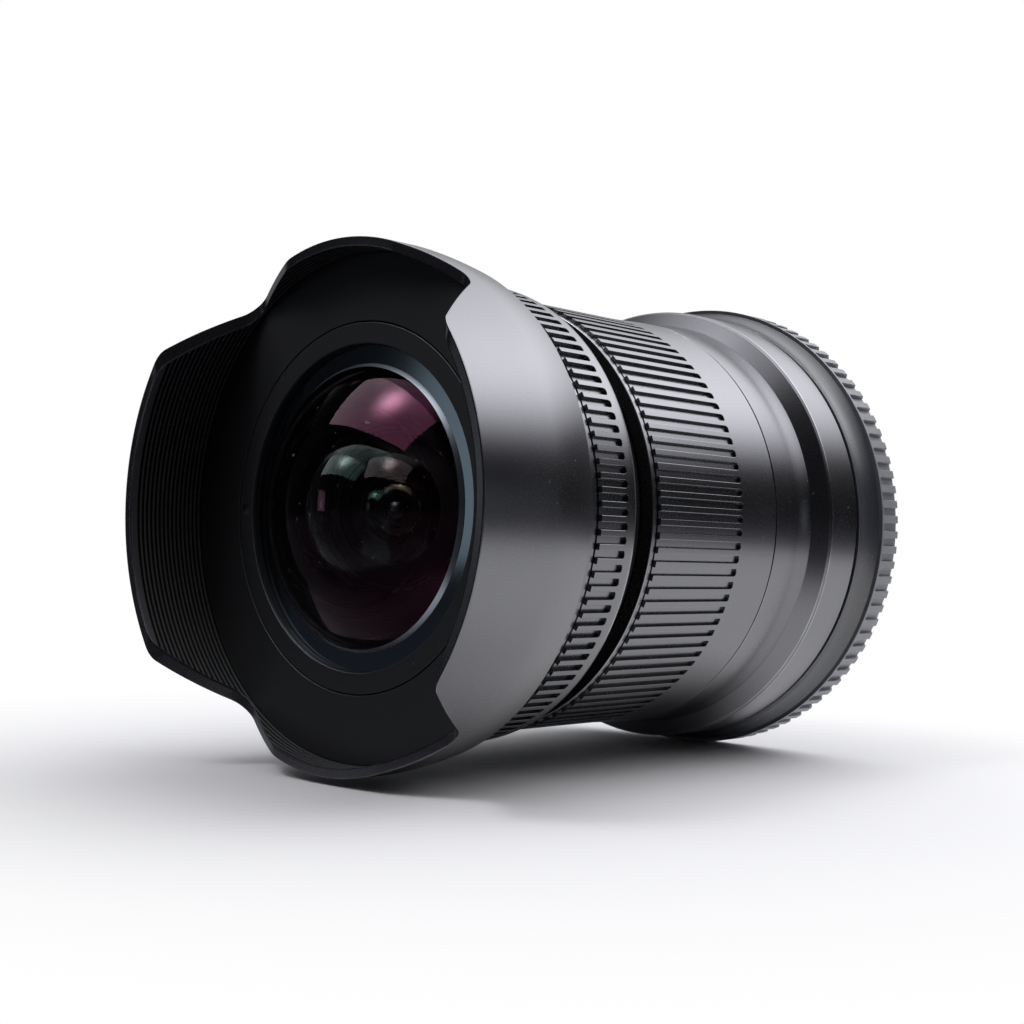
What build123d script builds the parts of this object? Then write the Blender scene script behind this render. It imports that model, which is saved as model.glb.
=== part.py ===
from build123d import *
import math
import os

os.makedirs("parts", exist_ok=True)

# Ultra-wide prime lens with a fixed petal hood, an aperture ring, a focus ring and a rear cap.
# Lengths are in millimetres and angles in degrees. The optical axis is Y, the flange plane
# is y = 0, the front of the lens faces -Y and +Z is up. A polar angle is 0 at +X and 90 at +Z.
# The lens is drawn at infinity focus with the iris fully open. Radii build up from the front
# element outwards, and depths build up from the flange forwards.

# Clearances
seam = 0.25                   # visible joint between a turning ring and its neighbour
running_fit = 0.05            # radial clearance of a turning or sliding fit
glass_fit = 0.05              # radial clearance of a glass element in its cell
end_float = 0.20              # axial clearance of a ring behind its retainer
open_gap = 0.35               # clearance where two moving pieces pass without a fit

# Front element
front_dome_radius = 18.5
front_dome_curve = 26.0
front_flange_step = 3.4       # how far the flat rim stands out from the dome
front_flange_thickness = 3.0
front_flange_setback = 0.55   # flat rim behind the face of the trim plate
front_boss_radius = 18.6
front_centre_thickness = 2.6
hollow_margin = 0.5           # a deep hollow's curve beyond its clear radius
front_hollow_radius = 16.5

# Second element, a steep meniscus
spacer_thickness = 0.6
second_clear_radius = 13.6
second_seat_width = 0.9       # flat rim outside the clear radius
second_curve = 26.0
second_centre_thickness = 1.8
second_hollow_radius = 11.2
cell_lip = 0.85               # thickness of the inner lip that glass seats on

# Third and fourth elements, in the rear half of the front cell
middle_clear_radius = 10.2
middle_seat_width = 0.85      # rim under the lip, spacer and ring
third_front_curve = -38.0
third_rear_curve = 24.0
third_centre_thickness = 1.4
middle_spacer_length = 0.92
fourth_front_curve = 24.0
fourth_rear_curve = -30.0
fourth_edge = 1.5
cell_ring_length = 1.1
cell_ring_land = 0.4          # cell wall behind the threaded ring
cell_wall = 2.65
cell_tail_wall = 1.9
cell_flange_thickness = 1.2
cell_flange_step = 0.9

# Barrels, from the optics outwards
link_clearance = 0.3
link_bar_thickness = 1.1
optical_barrel_wall = 1.9
guide_wall = 1.6
cam_sleeve_wall = 1.35
focus_wall = 2.05
guide_flange_thickness = 1.5
barrel_flange_thickness = 1.5
barrel_tail = 15.0            # optical barrel behind the cam rollers
barrel_shelf_width = 2.6
barrel_shelf_length = 1.0

# Rear barrel, from the flange forwards
collar_length = 7.35
collar_lip = 2.3              # collar outside the mount plate
shoulder_length = 2.1
neck_length = 8.2
barrel_edge = 0.4

# Focus ring
focus_ring_length = 27.7
focus_rib_height = 0.65
focus_rib_count = 104
focus_recess_share = 0.54     # part of each pitch that is cut away
focus_nose = 1.1              # plain rounded nose in front of the ribs
focus_rib_length = 18.6
focus_flare = 0.30            # rise from the ribs to the rear edge
focus_retainer_length = 0.6
focus_travel = 0.9            # how far the optics move forward
focus_throw = 100.0           # how far the focus ring turns

# Aperture ring
ring_gap = 4.85               # open gap between the two rings at infinity
aperture_ring_length = 11.55
aperture_hub_length = 3.0     # part of the ring that runs under the hood
aperture_wall = 2.25
aperture_rib_height = 0.8
aperture_rib_count = 112
aperture_recess_share = 0.56
aperture_collar_length = 4.2
aperture_rear_band = 2.25
aperture_rear_round = 1.1
aperture_throw = 48.0
groove_width = 0.35           # fine groove between a plain collar and the ribs
groove_depth = 0.25
rib_end_round = 0.3

# Front frame, which carries the hood, the glass and the aperture ring
frame_skirt_clearance = 0.45
frame_skirt_wall = 1.6
frame_plate_thickness = 2.0
frame_nose_wall = 1.65
frame_rim_wall = 1.15
frame_rim_clearance = 0.4
retainer_length = 1.1
retainer_height = 1.3
retainer_setback = 1.05       # retaining ring inside the rear edge of the aperture ring

# Petal hood
hood_wall = 1.3
hood_flare = 0.9              # hood radius at the front above its rear edge
hood_skirt_length = 7.7       # hood rear edge to the front of the trim plate
hood_cylinder_length = 3.95   # rear edge to where the outside becomes a cylinder
hood_flange_thickness = 2.0
petal_length = 12.0           # trim plate to the tips of the side petals
petal_half_width = 27.75      # start of a side petal's flank at its tip, from the middle plane
valley_half_width = 20.85
valley_height = 0.1           # corner between the flank and the short petal, above the trim
short_petal_half_width = 10.5
short_petal_height = 3.9
short_petal_crown = 0.25
petal_corner = 1.6
valley_round = 3.0
short_petal_round = 6.0
baffle_count = 16
baffle_pitch = 0.70
baffle_land = 0.32
baffle_depth = 0.28
baffle_rim = 1.15             # smooth band behind the petal tips

# Front trim and retaining ring
trim_thickness = 0.75
trim_fit = 0.05
ring_wall = 2.35
ring_lip_overlap = 0.4
ring_thread_length = 0.8
ring_notch_width = 1.2
ring_notch_depth = 0.3

# Screws
screw_head_radius = 1.2
screw_head_height = 0.7
screw_radius = 0.7
screw_length = 3.2
screw_sink = 0.1              # screw head below the face around it
socket_sides = 6
small_screw_head_radius = 0.8
small_screw_radius = 0.5
small_screw_head_height = 0.5
small_screw_length = 2.8
hood_screw_count = 6
barrel_screw_count = 3
mount_screw_count = 4

# Link from the aperture ring through the barrels to the iris
link_post_radius = 1.2
link_post_setback = 2.6       # post axis behind the visible front of the aperture ring
link_bar_width = 3.0
link_angle = 60.0             # where the link lies at rest
link_socket = 0.9
window_margin = 0.3

# Click stop of the aperture ring
click_ball_radius = 0.75
click_protrusion = 0.3        # ball inside the track of the aperture ring
click_track_clearance = 0.05
click_dimple_radius = 0.35
click_dimple_depth = 0.2
click_stop_count = 5
click_angle = 200.0
click_pocket_floor = 0.2      # frame plate left in front of the click spring
click_spring_wire = 0.1
click_spring_radius = 0.55
click_spring_turns = 2

# Iris
iris_setback = 2.0            # iris cell behind the rear end of the front cell
stop_radius = 6.0
blade_count = 10
blade_thickness = 0.07
blade_pitch = 0.12
blade_swing = 23.0
blade_pivot_radius = 11.8
blade_inner_radius = 6.15
blade_outer_radius = 10.9
blade_start = 12.0
blade_end = 116.0
blade_arm = 4.4
blade_arm_angle = 80.0
blade_arm_width = 1.6
blade_boss_radius = 1.0
blade_neck_width = 2.0
pin_radius = 0.35
pin_fit = 0.05
pin_end = 0.2                 # floor of the iris base behind the end of a pivot pin
drive_ring_bore = 7.2
drive_ring_radius = 15.5
drive_ring_thickness = 1.2
iris_rim_wall = 1.45
iris_floor_thickness = 1.0
iris_cover_thickness = 0.8
iris_cover_width = 1.7
iris_gap = 0.15

# Cam rollers
roller_radius = 1.5
roller_shank_radius = 0.9
roller_count = 3
roller_setback = 13.0         # roller axis in front of the rear end of the focus ring

# Rear cell and the glass in it
rear_cell_lip = 1.0
rear_cell_wall = 1.75
rear_flange_thickness = 1.5
rear_ring_thickness = 1.2
rear_ring_width = 3.4
rear_glass_gap = 0.3          # iris base to the rear cell
rear_radius = 12.0
fifth_clear_radius = 9.5
fifth_front_curve = 30.0
fifth_centre_thickness = 7.4
cement_curve = -22.0
sixth_centre_thickness = 1.4
sixth_rear_curve = 120.0
rear_spacer_length = 4.5
rear_spacer_wall = 1.6
seventh_front_curve = -26.0
seventh_rear_curve = -60.0
seventh_centre_thickness = 1.5
tail_spacer_length = 13.7
tail_spacer_wall = 1.0
eighth_clear_radius = 11.0
eighth_front_curve = 60.0
eighth_rear_curve = -34.0
eighth_edge = 2.5
tail_ring_length = 1.2
tail_land = 0.8

# Mount
mount_reach = 4.95            # mount plate outside the guide barrel
mount_flange_width = 4.5      # mount plate outside the throat
throat_wall = 1.8
mount_thickness = 2.0
throat_length = 4.6
tab_height = 1.6
tab_front = 1.9
tab_thickness = 1.5
tab_sweep = 50.0
tab_count = 3
mount_screw_setback = 2.1     # screw circle inside the edge of the mount
mount_screw_start = 45.0
lock_hole_radius = 1.3
lock_hole_depth = 1.4
lock_hole_angle = 0.0
flange_setback = 0.2          # rear barrel's edge in front of the flange plane
baffle_plate_thickness = 0.8
baffle_plate_hole = 18.0
index_dot_radius = 1.0
index_dot_depth = 0.6
index_dot_height = 0.75
index_angle = 180.0
stop_pin_radius = 0.6
stop_pin_angle = 270.0
stop_pin_seat = 2.0
stop_pin_reach = 1.1

# Rear cap
cap_gap = 0.3
cap_length = 8.75
cap_rim_step = 0.6            # cap rim below the collar
cap_flare_height = 1.2        # cap flare above the collar
cap_flare_length = 3.6
cap_flare_curve = 0.55        # hollow of the flare
cap_rib_height = 0.6
cap_rib_count = 96
cap_lip = 0.45                # plain lip in front of the ribs
cap_rib_share = 0.52
cap_back_chamfer = 0.5
cap_wall = 2.9
cap_back_thickness = 1.85
cap_lug_clearance = 0.3
cap_lug_thickness = 1.05
cap_lug_sweep = 44.0

# Radii that follow
front_hollow_curve = front_hollow_radius + hollow_margin
second_radius = second_clear_radius + second_seat_width
second_hollow_curve = second_hollow_radius + hollow_margin
middle_radius = middle_clear_radius + middle_seat_width
front_flange_radius = front_dome_radius + front_flange_step
ring_inner_radius = front_flange_radius - ring_lip_overlap
ring_outer_radius = front_flange_radius + glass_fit + ring_wall
nose_radius = ring_outer_radius + trim_fit + frame_nose_wall
front_cell_radius = front_boss_radius + glass_fit + cell_wall
link_bar_inner = front_cell_radius + link_clearance
link_bar_outer = link_bar_inner + link_bar_thickness
optical_barrel_bore = link_bar_outer + link_clearance
optical_barrel_radius = optical_barrel_bore + optical_barrel_wall
guide_bore = optical_barrel_radius + running_fit
guide_radius = guide_bore + guide_wall
mount_radius = guide_radius + mount_reach
throat_radius = mount_radius - mount_flange_width
mount_inner_radius = throat_radius - throat_wall
mount_screw_circle = mount_radius - mount_screw_setback
sleeve_bore = guide_radius + running_fit
sleeve_radius = sleeve_bore + cam_sleeve_wall
focus_floor_radius = sleeve_radius + focus_wall
focus_top_radius = focus_floor_radius + focus_rib_height
focus_rear_radius = focus_top_radius + focus_flare
neck_radius = focus_rear_radius
collar_radius = mount_radius + collar_lip
frame_skirt_bore = guide_radius + frame_skirt_clearance
frame_bearing_radius = frame_skirt_bore + frame_skirt_wall
aperture_bore = frame_bearing_radius + running_fit
aperture_floor_radius = aperture_bore + aperture_wall
aperture_top_radius = aperture_floor_radius + aperture_rib_height
frame_rim_bore = aperture_floor_radius + frame_rim_clearance
frame_rim_radius = frame_rim_bore + frame_rim_wall
hood_skirt_bore = frame_rim_radius + trim_fit
hood_tail_radius = hood_skirt_bore + hood_wall
hood_radius = hood_tail_radius + hood_flare
hood_bore = hood_radius - hood_wall
hood_screw_circle = (nose_radius + hood_bore) / 2
barrel_flange_radius = frame_skirt_bore - running_fit
barrel_screw_circle = (optical_barrel_radius + barrel_flange_radius) / 2

# Depths that follow, all negative in front of the flange
flange = 0.0
collar_rear = flange - flange_setback
collar_front = flange - collar_length
neck_rear = collar_front - shoulder_length
neck_front = neck_rear - neck_length
focus_rear = neck_front - seam
focus_front = focus_rear - focus_ring_length
aperture_rear = focus_front - ring_gap
aperture_front = aperture_rear - aperture_ring_length
hub_front = aperture_front - aperture_hub_length
frame_rear = hub_front - end_float
frame_front = frame_rear - frame_plate_thickness
trim_rear = frame_front - hood_flange_thickness
trim_front = trim_rear - trim_thickness
hood_rear = trim_front + hood_skirt_length
petal_front = trim_front - petal_length
roller_y = focus_rear - roller_setback
link_post_y = aperture_front + link_post_setback
guide_front = link_post_y + link_post_radius + 1.0
barrel_rear = roller_y + barrel_tail
guide_flange_rear = flange - mount_thickness
guide_flange_front = guide_flange_rear - guide_flange_thickness


def station(y):
    """Plane across the axis at depth y. Its x is X, its y is Z and it faces the front."""
    return Plane.XZ.offset(-y)


def section(inner, outer, front, rear, mode=Mode.ADD):
    """Rectangle in the half section of a turned piece: radii along x, depths along y."""
    with Locations(((inner + outer) / 2, (front + rear) / 2)):
        Rectangle(outer - inner, rear - front, mode=mode)


def turned(outline):
    """Solid of revolution of a closed half section, given as points (radius, depth)."""
    with BuildPart() as piece:
        with BuildSketch():
            with BuildLine():
                Polyline(*outline, close=True)
            make_face()
        revolve(axis=Axis.Y)
    return piece.part


def ring(inner, outer, front, rear):
    """Plain turned ring."""
    return turned([(inner, front), (outer, front), (outer, rear), (inner, rear)])


def polar(radius, angle, y):
    """Point at a radius and a polar angle, at depth y."""
    return (radius * math.cos(math.radians(angle)), y, radius * math.sin(math.radians(angle)))


def radial_plane(radius, angle, y):
    """Plane square to the radius at a polar angle, facing outwards, with its x along +Y."""
    return Plane(origin=polar(radius, angle, y), x_dir=(0, 1, 0), z_dir=polar(1.0, angle, 0.0))


def turn(shape, angle):
    """Copy of a shape, turned about the optical axis by a polar angle."""
    return shape.rotate(Axis.Y, -angle)


def around(shape, count, start=0.0):
    """Copies of a shape spread evenly about the optical axis."""
    return [turn(shape, start + 360 * index / count) for index in range(count)]


def arc_window(inner, outer, front, rear, start, sweep):
    """Part of a ring that spans some polar angles, used to cut or to add a segment."""
    with BuildPart() as segment:
        with BuildSketch():
            section(inner, outer, front, rear)
        revolve(axis=Axis.Y, revolution_arc=sweep)
    return turn(segment.part, start + sweep)


def sag(curve, radius):
    """Depth of a spherical face at a radius, behind its vertex. A negative curve bows forwards."""
    return curve - math.copysign(math.sqrt(curve * curve - radius * radius), curve)


def lens_element(edge, front_face, rear_face):
    """Glass element. Each face is (clear radius, curvature, vertex), with a flat rim around it."""
    front_clear, front_curve, front_vertex = front_face
    rear_clear, rear_curve, rear_vertex = rear_face
    front_rim = front_vertex + sag(front_curve, front_clear)
    rear_rim = rear_vertex + sag(rear_curve, rear_clear)
    front_middle = (front_clear / 2, front_vertex + sag(front_curve, front_clear / 2))
    rear_middle = (rear_clear / 2, rear_vertex + sag(rear_curve, rear_clear / 2))
    with BuildPart() as element:
        with BuildSketch():
            with BuildLine():
                ThreePointArc((0, front_vertex), front_middle, (front_clear, front_rim))
                if front_clear < edge:
                    Line((front_clear, front_rim), (edge, front_rim))
                Line((edge, front_rim), (edge, rear_rim))
                if rear_clear < edge:
                    Line((edge, rear_rim), (rear_clear, rear_rim))
                ThreePointArc((rear_clear, rear_rim), rear_middle, (0, rear_vertex))
                Line((0, rear_vertex), (0, front_vertex))
            make_face()
        revolve(axis=Axis.Y)
    return element.part


def screw(head_radius, head_height, shank_radius, length, head_y, tip_y):
    """Cap screw on the optical axis with a hexagon socket, head at head_y, pointing to tip_y."""
    way = math.copysign(1.0, tip_y - head_y)
    neck_y = head_y + way * head_height
    end_y = head_y + way * length
    with BuildPart() as fastener:
        with BuildSketch():
            section(0, head_radius, min(head_y, neck_y), max(head_y, neck_y))
            section(0, shank_radius, min(neck_y, end_y), max(neck_y, end_y))
        revolve(axis=Axis.Y)
        with BuildSketch(station(head_y)):
            RegularPolygon(head_radius / 2, socket_sides)
        extrude(amount=-way * head_height / 2, mode=Mode.SUBTRACT)
    return fastener.part


def circle_of_screws(one_screw, circle, count, start):
    """Equal screws on a circle about the optical axis, as one group."""
    placed = Pos(circle, 0, 0) * one_screw
    return Compound(children=around(placed, count, start))


def rib_gap(share, count, floor, height, front, rear, open_front=True):
    """Cutter for one gap between two ribs. Its front or its rear is open, its other end is round."""
    width = 2 * math.pi * floor / count * share
    length = rear - front
    with BuildPart() as gap:
        with BuildSketch(radial_plane(floor, 0, (front + rear) / 2)) as plan:
            Rectangle(length, width)
            corners = plan.vertices().sort_by(Axis.X)
            fillet(corners[-2:] if open_front else corners[:2], rib_end_round)
        extrude(amount=2 * height)
    return gap.part


def finish(piece, name):
    """Name one finished piece and write it out."""
    piece.label = name
    export_step(piece, "parts/" + name + ".step")


# Rear barrel: turned shell with a neck, a conical shoulder and the wide collar at the mount
barrel_bore = sleeve_radius - cam_sleeve_wall / 3
seat_radius = mount_radius + trim_fit
index_y = (collar_front + collar_rear) / 2
stop_pin_circle = (sleeve_radius + neck_radius) / 2
with BuildPart() as rear_barrel:
    with BuildSketch():
        with BuildLine():
            Polyline(
                (barrel_bore, neck_front),
                (neck_radius, neck_front),
                (neck_radius, neck_rear - shoulder_length / 2),
                (neck_radius + barrel_edge, neck_rear),
                (collar_radius - barrel_edge / 2, collar_front - barrel_edge),
                (collar_radius, collar_front),
                (collar_radius, collar_rear - barrel_edge),
                (collar_radius - barrel_edge, collar_rear),
                (seat_radius, collar_rear),
                (seat_radius, guide_flange_front),
                (barrel_bore, guide_flange_front),
                close=True,
            )
        make_face()
    revolve(axis=Axis.Y)
    with BuildSketch(station(guide_flange_front)):
        with PolarLocations(mount_screw_circle, mount_screw_count, start_angle=mount_screw_start):
            Circle(screw_radius)
    extrude(amount=screw_length, mode=Mode.SUBTRACT)
    with BuildSketch(radial_plane(collar_radius - index_dot_depth, index_angle, index_y)):
        Circle(index_dot_radius)
    extrude(amount=2 * index_dot_depth, mode=Mode.SUBTRACT)
    with BuildSketch(station(neck_front)):
        with PolarLocations(stop_pin_circle, 1, start_angle=stop_pin_angle):
            Circle(stop_pin_radius)
    extrude(amount=-stop_pin_seat, mode=Mode.SUBTRACT)
finish(rear_barrel.part, "rear_barrel")

# Index dot: small domed bead let into the collar, for lining up with the camera
with BuildPart() as mount_index_dot:
    with BuildSketch(radial_plane(collar_radius - index_dot_depth, index_angle, index_y)):
        Circle(index_dot_radius)
    extrude(amount=index_dot_height)
    fillet(mount_index_dot.faces().sort_by(Axis.X)[0].edges(), index_dot_height / 4)
finish(mount_index_dot.part, "mount_index_dot")

# Guide barrel: fixed tube with three straight slots, its flange clamped under the mount
with BuildPart() as guide_barrel:
    with BuildSketch():
        section(guide_bore, guide_radius, guide_front, guide_flange_rear)
        section(guide_bore, mount_radius, guide_flange_front, guide_flange_rear)
    revolve(axis=Axis.Y)
    with BuildSketch(station(guide_flange_front)):
        with PolarLocations(mount_screw_circle, mount_screw_count, start_angle=mount_screw_start):
            Circle(screw_radius)
    extrude(amount=-guide_flange_thickness, mode=Mode.SUBTRACT)
    for index in range(roller_count):
        slot_plane = radial_plane(0, 360 * index / roller_count, roller_y - focus_travel / 2)
        with BuildSketch(slot_plane.offset(optical_barrel_radius - guide_wall)):
            SlotCenterToCenter(focus_travel, 2 * (roller_radius + running_fit))
        extrude(amount=3 * guide_wall, mode=Mode.SUBTRACT)
finish(guide_barrel.part, "guide_barrel")

# Focus retainer: threaded ring on the guide barrel that keeps the focus ring back
retainer_rear = focus_front - end_float
focus_retainer = ring(guide_radius, sleeve_radius + end_float, retainer_rear - focus_retainer_length,
                      retainer_rear)
finish(focus_retainer, "focus_retainer")

# Focus stop pin: pressed into the front of the rear barrel, it limits the turn of the ring
with BuildPart() as focus_stop_pin:
    with BuildSketch(station(neck_front + stop_pin_seat)):
        with PolarLocations(stop_pin_circle, 1, start_angle=stop_pin_angle):
            Circle(stop_pin_radius)
    extrude(amount=stop_pin_seat + stop_pin_reach)
finish(focus_stop_pin.part, "focus_stop_pin")

# Mount plate: flange and bayonet sleeve in one piece, with three tabs and a lock pin hole
with BuildPart() as mount_plate:
    with BuildSketch():
        section(mount_inner_radius, mount_radius, guide_flange_rear, flange)
        section(mount_inner_radius, throat_radius, flange, throat_length)
    revolve(axis=Axis.Y)
    tab = arc_window(mount_inner_radius, throat_radius + tab_height, tab_front, tab_front + tab_thickness,
                     -tab_sweep / 2, tab_sweep)
    add(around(tab, tab_count))
    with BuildSketch(station(flange)):
        with PolarLocations(mount_screw_circle, mount_screw_count, start_angle=mount_screw_start):
            Circle(screw_radius)
    extrude(amount=mount_thickness, mode=Mode.SUBTRACT)
    with BuildSketch(station(flange)):
        with PolarLocations(mount_screw_circle, mount_screw_count, start_angle=mount_screw_start):
            Circle(screw_head_radius + running_fit)
    extrude(amount=screw_head_height + screw_sink, mode=Mode.SUBTRACT)
    with BuildSketch(station(flange)):
        with PolarLocations(mount_screw_circle, 1, start_angle=lock_hole_angle):
            Circle(lock_hole_radius)
    extrude(amount=lock_hole_depth, mode=Mode.SUBTRACT)
finish(mount_plate.part, "mount_plate")

# Mount screws: they clamp the mount plate and the guide barrel's flange to the rear barrel
mount_screw = screw(screw_head_radius, screw_head_height, screw_radius, screw_length + mount_thickness,
                    flange - screw_sink, neck_front)
mount_screws = circle_of_screws(mount_screw, mount_screw_circle, mount_screw_count, mount_screw_start)
finish(mount_screws, "mount_screws")

# Rear baffle: thin light shield pressed into the bayonet sleeve
rear_baffle = ring(baffle_plate_hole, mount_inner_radius, throat_length - baffle_plate_thickness,
                   throat_length)
finish(rear_baffle, "rear_baffle")

# Focus ring: ribbed grip with a rounded nose and a flared plain band for the distance scale
focus_rib_front = focus_front + focus_nose
focus_rib_rear = focus_rib_front + focus_rib_length
stop_slot_radius = stop_pin_radius + 2 * running_fit
with BuildPart() as focus_ring:
    with BuildSketch():
        with BuildLine():
            Polyline(
                (sleeve_radius, focus_front),
                (focus_floor_radius - focus_nose + groove_width, focus_front),
                (focus_floor_radius, focus_rib_front - groove_width),
                (focus_floor_radius - groove_depth, focus_rib_front - groove_width),
                (focus_floor_radius - groove_depth, focus_rib_front),
                (focus_top_radius, focus_rib_front),
                (focus_top_radius, focus_rib_rear),
                (focus_rear_radius, focus_rear),
                (sleeve_radius, focus_rear),
                close=True,
            )
        make_face()
    revolve(axis=Axis.Y)
    focus_gap = rib_gap(focus_recess_share, focus_rib_count, focus_floor_radius, focus_rib_height,
                        focus_rib_front - groove_width, focus_rib_rear)
    add(around(focus_gap, focus_rib_count), mode=Mode.SUBTRACT)
    with BuildSketch(station(focus_rear)):
        with BuildLine():
            slot_line = CenterArc((0, 0), stop_pin_circle, stop_pin_angle - focus_throw, focus_throw)
        SlotArc(slot_line, 2 * stop_slot_radius)
    extrude(amount=stop_pin_reach + 2 * seam, mode=Mode.SUBTRACT)
finish(focus_ring.part, "focus_ring")


def cam_slot():
    """Cutter for one helical slot. It starts at the roller and runs on as the sleeve turns back."""
    slot_radius = (sleeve_bore + sleeve_radius) / 2
    width = 2 * (roller_radius + running_fit)
    with BuildPart() as slot:
        with BuildLine():
            path = Helix(focus_travel * 360 / focus_throw, focus_travel, slot_radius,
                         center=(0, roller_y, 0), direction=(0, -1, 0), lefthand=True)
        first = path @ 0
        last = path @ 1
        outward = Vector(first.X, 0, first.Z).normalized()
        with BuildSketch(Plane(origin=first, x_dir=outward, z_dir=path % 0)):
            Rectangle(2 * cam_sleeve_wall, width)
        sweep(is_frenet=True)
        for end in (first, last):
            end_angle = math.degrees(math.atan2(end.Z, end.X))
            with BuildSketch(radial_plane(slot_radius - cam_sleeve_wall, end_angle, end.Y)):
                Circle(width / 2)
            extrude(amount=2 * cam_sleeve_wall)
    first_angle = math.degrees(math.atan2(first.Z, first.X))
    return turn(slot.part, -first_angle)


# Cam sleeve: pressed into the focus ring, its three helical slots push the rollers forward
with BuildPart() as focus_cam_sleeve:
    with BuildSketch():
        section(sleeve_bore, sleeve_radius, focus_front, focus_rear)
    revolve(axis=Axis.Y)
    add(around(cam_slot(), roller_count), mode=Mode.SUBTRACT)
finish(focus_cam_sleeve.part, "focus_cam_sleeve")


def petal_cutter():
    """Block that leaves four petals: two long ones at the sides, two short ones above and below."""
    tip = petal_front - petal_corner
    valley_y = trim_front - valley_height
    shoulder_y = trim_front - short_petal_height
    crown_y = shoulder_y - short_petal_crown
    with BuildPart() as cutter:
        with BuildSketch() as plan:
            with BuildLine():
                Polyline(
                    (short_petal_half_width, shoulder_y),
                    (valley_half_width, valley_y),
                    (petal_half_width, petal_front),
                    (hood_radius + petal_corner, petal_front),
                    (hood_radius + petal_corner, tip),
                    (-hood_radius - petal_corner, tip),
                    (-hood_radius - petal_corner, petal_front),
                    (-petal_half_width, petal_front),
                    (-valley_half_width, valley_y),
                    (-short_petal_half_width, shoulder_y),
                )
                ThreePointArc(
                    (-short_petal_half_width, shoulder_y),
                    (0, crown_y),
                    (short_petal_half_width, shoulder_y),
                )
            make_face()
            for side in (-1, 1):
                corners = plan.vertices()
                fillet(corners.sort_by_distance((side * petal_half_width, petal_front))[0], petal_corner)
                corners = plan.vertices()
                fillet(corners.sort_by_distance((side * valley_half_width, valley_y))[0], valley_round)
                corners = plan.vertices()
                shoulder = corners.sort_by_distance((side * short_petal_half_width, shoulder_y))[0]
                fillet(shoulder, short_petal_round)
        extrude(amount=hood_radius + petal_corner, both=True)
    return cutter.part


# Petal hood: one turned and milled shell with fine baffle grooves inside and a flange behind
hood_cylinder_rear = hood_rear - hood_cylinder_length
with BuildPart() as petal_hood:
    with BuildSketch():
        with BuildLine():
            Polyline(
                (hood_tail_radius, hood_rear),
                (hood_skirt_bore, hood_rear),
                (hood_skirt_bore, frame_front),
                (nose_radius + trim_fit, frame_front),
                (nose_radius + trim_fit, trim_rear),
                (hood_bore, trim_rear),
                (hood_bore, petal_front),
                (hood_radius, petal_front),
                (hood_radius, hood_cylinder_rear),
            )
            tail_middle = (hood_radius - hood_flare / 4, (hood_cylinder_rear + hood_rear) / 2)
            ThreePointArc((hood_radius, hood_cylinder_rear), tail_middle, (hood_tail_radius, hood_rear))
        make_face()
        for index in range(baffle_count):
            groove_front = petal_front + baffle_rim + index * baffle_pitch
            section(hood_bore - baffle_depth, hood_bore + baffle_depth, groove_front,
                    groove_front + baffle_pitch - baffle_land, mode=Mode.SUBTRACT)
    revolve(axis=Axis.Y)
    add(petal_cutter(), mode=Mode.SUBTRACT)
    with BuildSketch(station(trim_rear)):
        with PolarLocations(hood_screw_circle, hood_screw_count):
            Circle(screw_head_radius + running_fit)
    extrude(amount=-screw_head_height - screw_sink, mode=Mode.SUBTRACT)
    with BuildSketch(station(trim_rear)):
        with PolarLocations(hood_screw_circle, hood_screw_count):
            Circle(screw_radius)
    extrude(amount=-hood_flange_thickness, mode=Mode.SUBTRACT)
finish(petal_hood.part, "petal_hood")

# Hood screws: under the trim plate, they hold the hood to the front frame
hood_screw = screw(screw_head_radius, screw_head_height, screw_radius, screw_length,
                   trim_rear + screw_sink, flange)
hood_screws = circle_of_screws(hood_screw, hood_screw_circle, hood_screw_count, 0)
finish(hood_screws, "hood_screws")

# Front trim plate: thin flat annulus at the bottom of the hood, over the screws
front_trim_plate = ring(ring_outer_radius + trim_fit, hood_bore - trim_fit, trim_front, trim_rear)
finish(front_trim_plate, "front_trim_plate")

# Front retaining ring: threaded into the frame's nose, its lip holds the front element
glass_rim_y = trim_front + front_flange_setback
ring_rear = glass_rim_y + ring_thread_length
with BuildPart() as front_retaining_ring:
    with BuildSketch():
        section(ring_inner_radius, ring_outer_radius, trim_front, glass_rim_y)
        section(front_flange_radius + glass_fit, ring_outer_radius, glass_rim_y, ring_rear)
    revolve(axis=Axis.Y)
    with BuildSketch(station(trim_front)):
        with PolarLocations((ring_inner_radius + ring_outer_radius) / 2, 2):
            Rectangle(ring_wall / 2, ring_notch_width)
    extrude(amount=-ring_notch_depth, mode=Mode.SUBTRACT)
finish(front_retaining_ring.part, "front_retaining_ring")

# Front element: steep meniscus with a flat ground rim and a rear boss
front_vertex = glass_rim_y - sag(front_dome_curve, front_dome_radius)
flange_glass_rear = glass_rim_y + front_flange_thickness
hollow_vertex = front_vertex + front_centre_thickness
boss_rear = hollow_vertex + sag(front_hollow_curve, front_hollow_radius)
with BuildPart() as front_element:
    with BuildSketch():
        with BuildLine():
            ThreePointArc(
                (0, front_vertex),
                (front_dome_radius / 2, front_vertex + sag(front_dome_curve, front_dome_radius / 2)),
                (front_dome_radius, glass_rim_y),
            )
            Polyline(
                (front_dome_radius, glass_rim_y),
                (front_flange_radius, glass_rim_y),
                (front_flange_radius, flange_glass_rear),
                (front_boss_radius, flange_glass_rear),
                (front_boss_radius, boss_rear),
                (front_hollow_radius, boss_rear),
            )
            ThreePointArc(
                (front_hollow_radius, boss_rear),
                (front_hollow_radius / 2, hollow_vertex + sag(front_hollow_curve, front_hollow_radius / 2)),
                (0, hollow_vertex),
            )
            Line((0, hollow_vertex), (0, front_vertex))
        make_face()
    revolve(axis=Axis.Y)
finish(front_element.part, "front_element")

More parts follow.
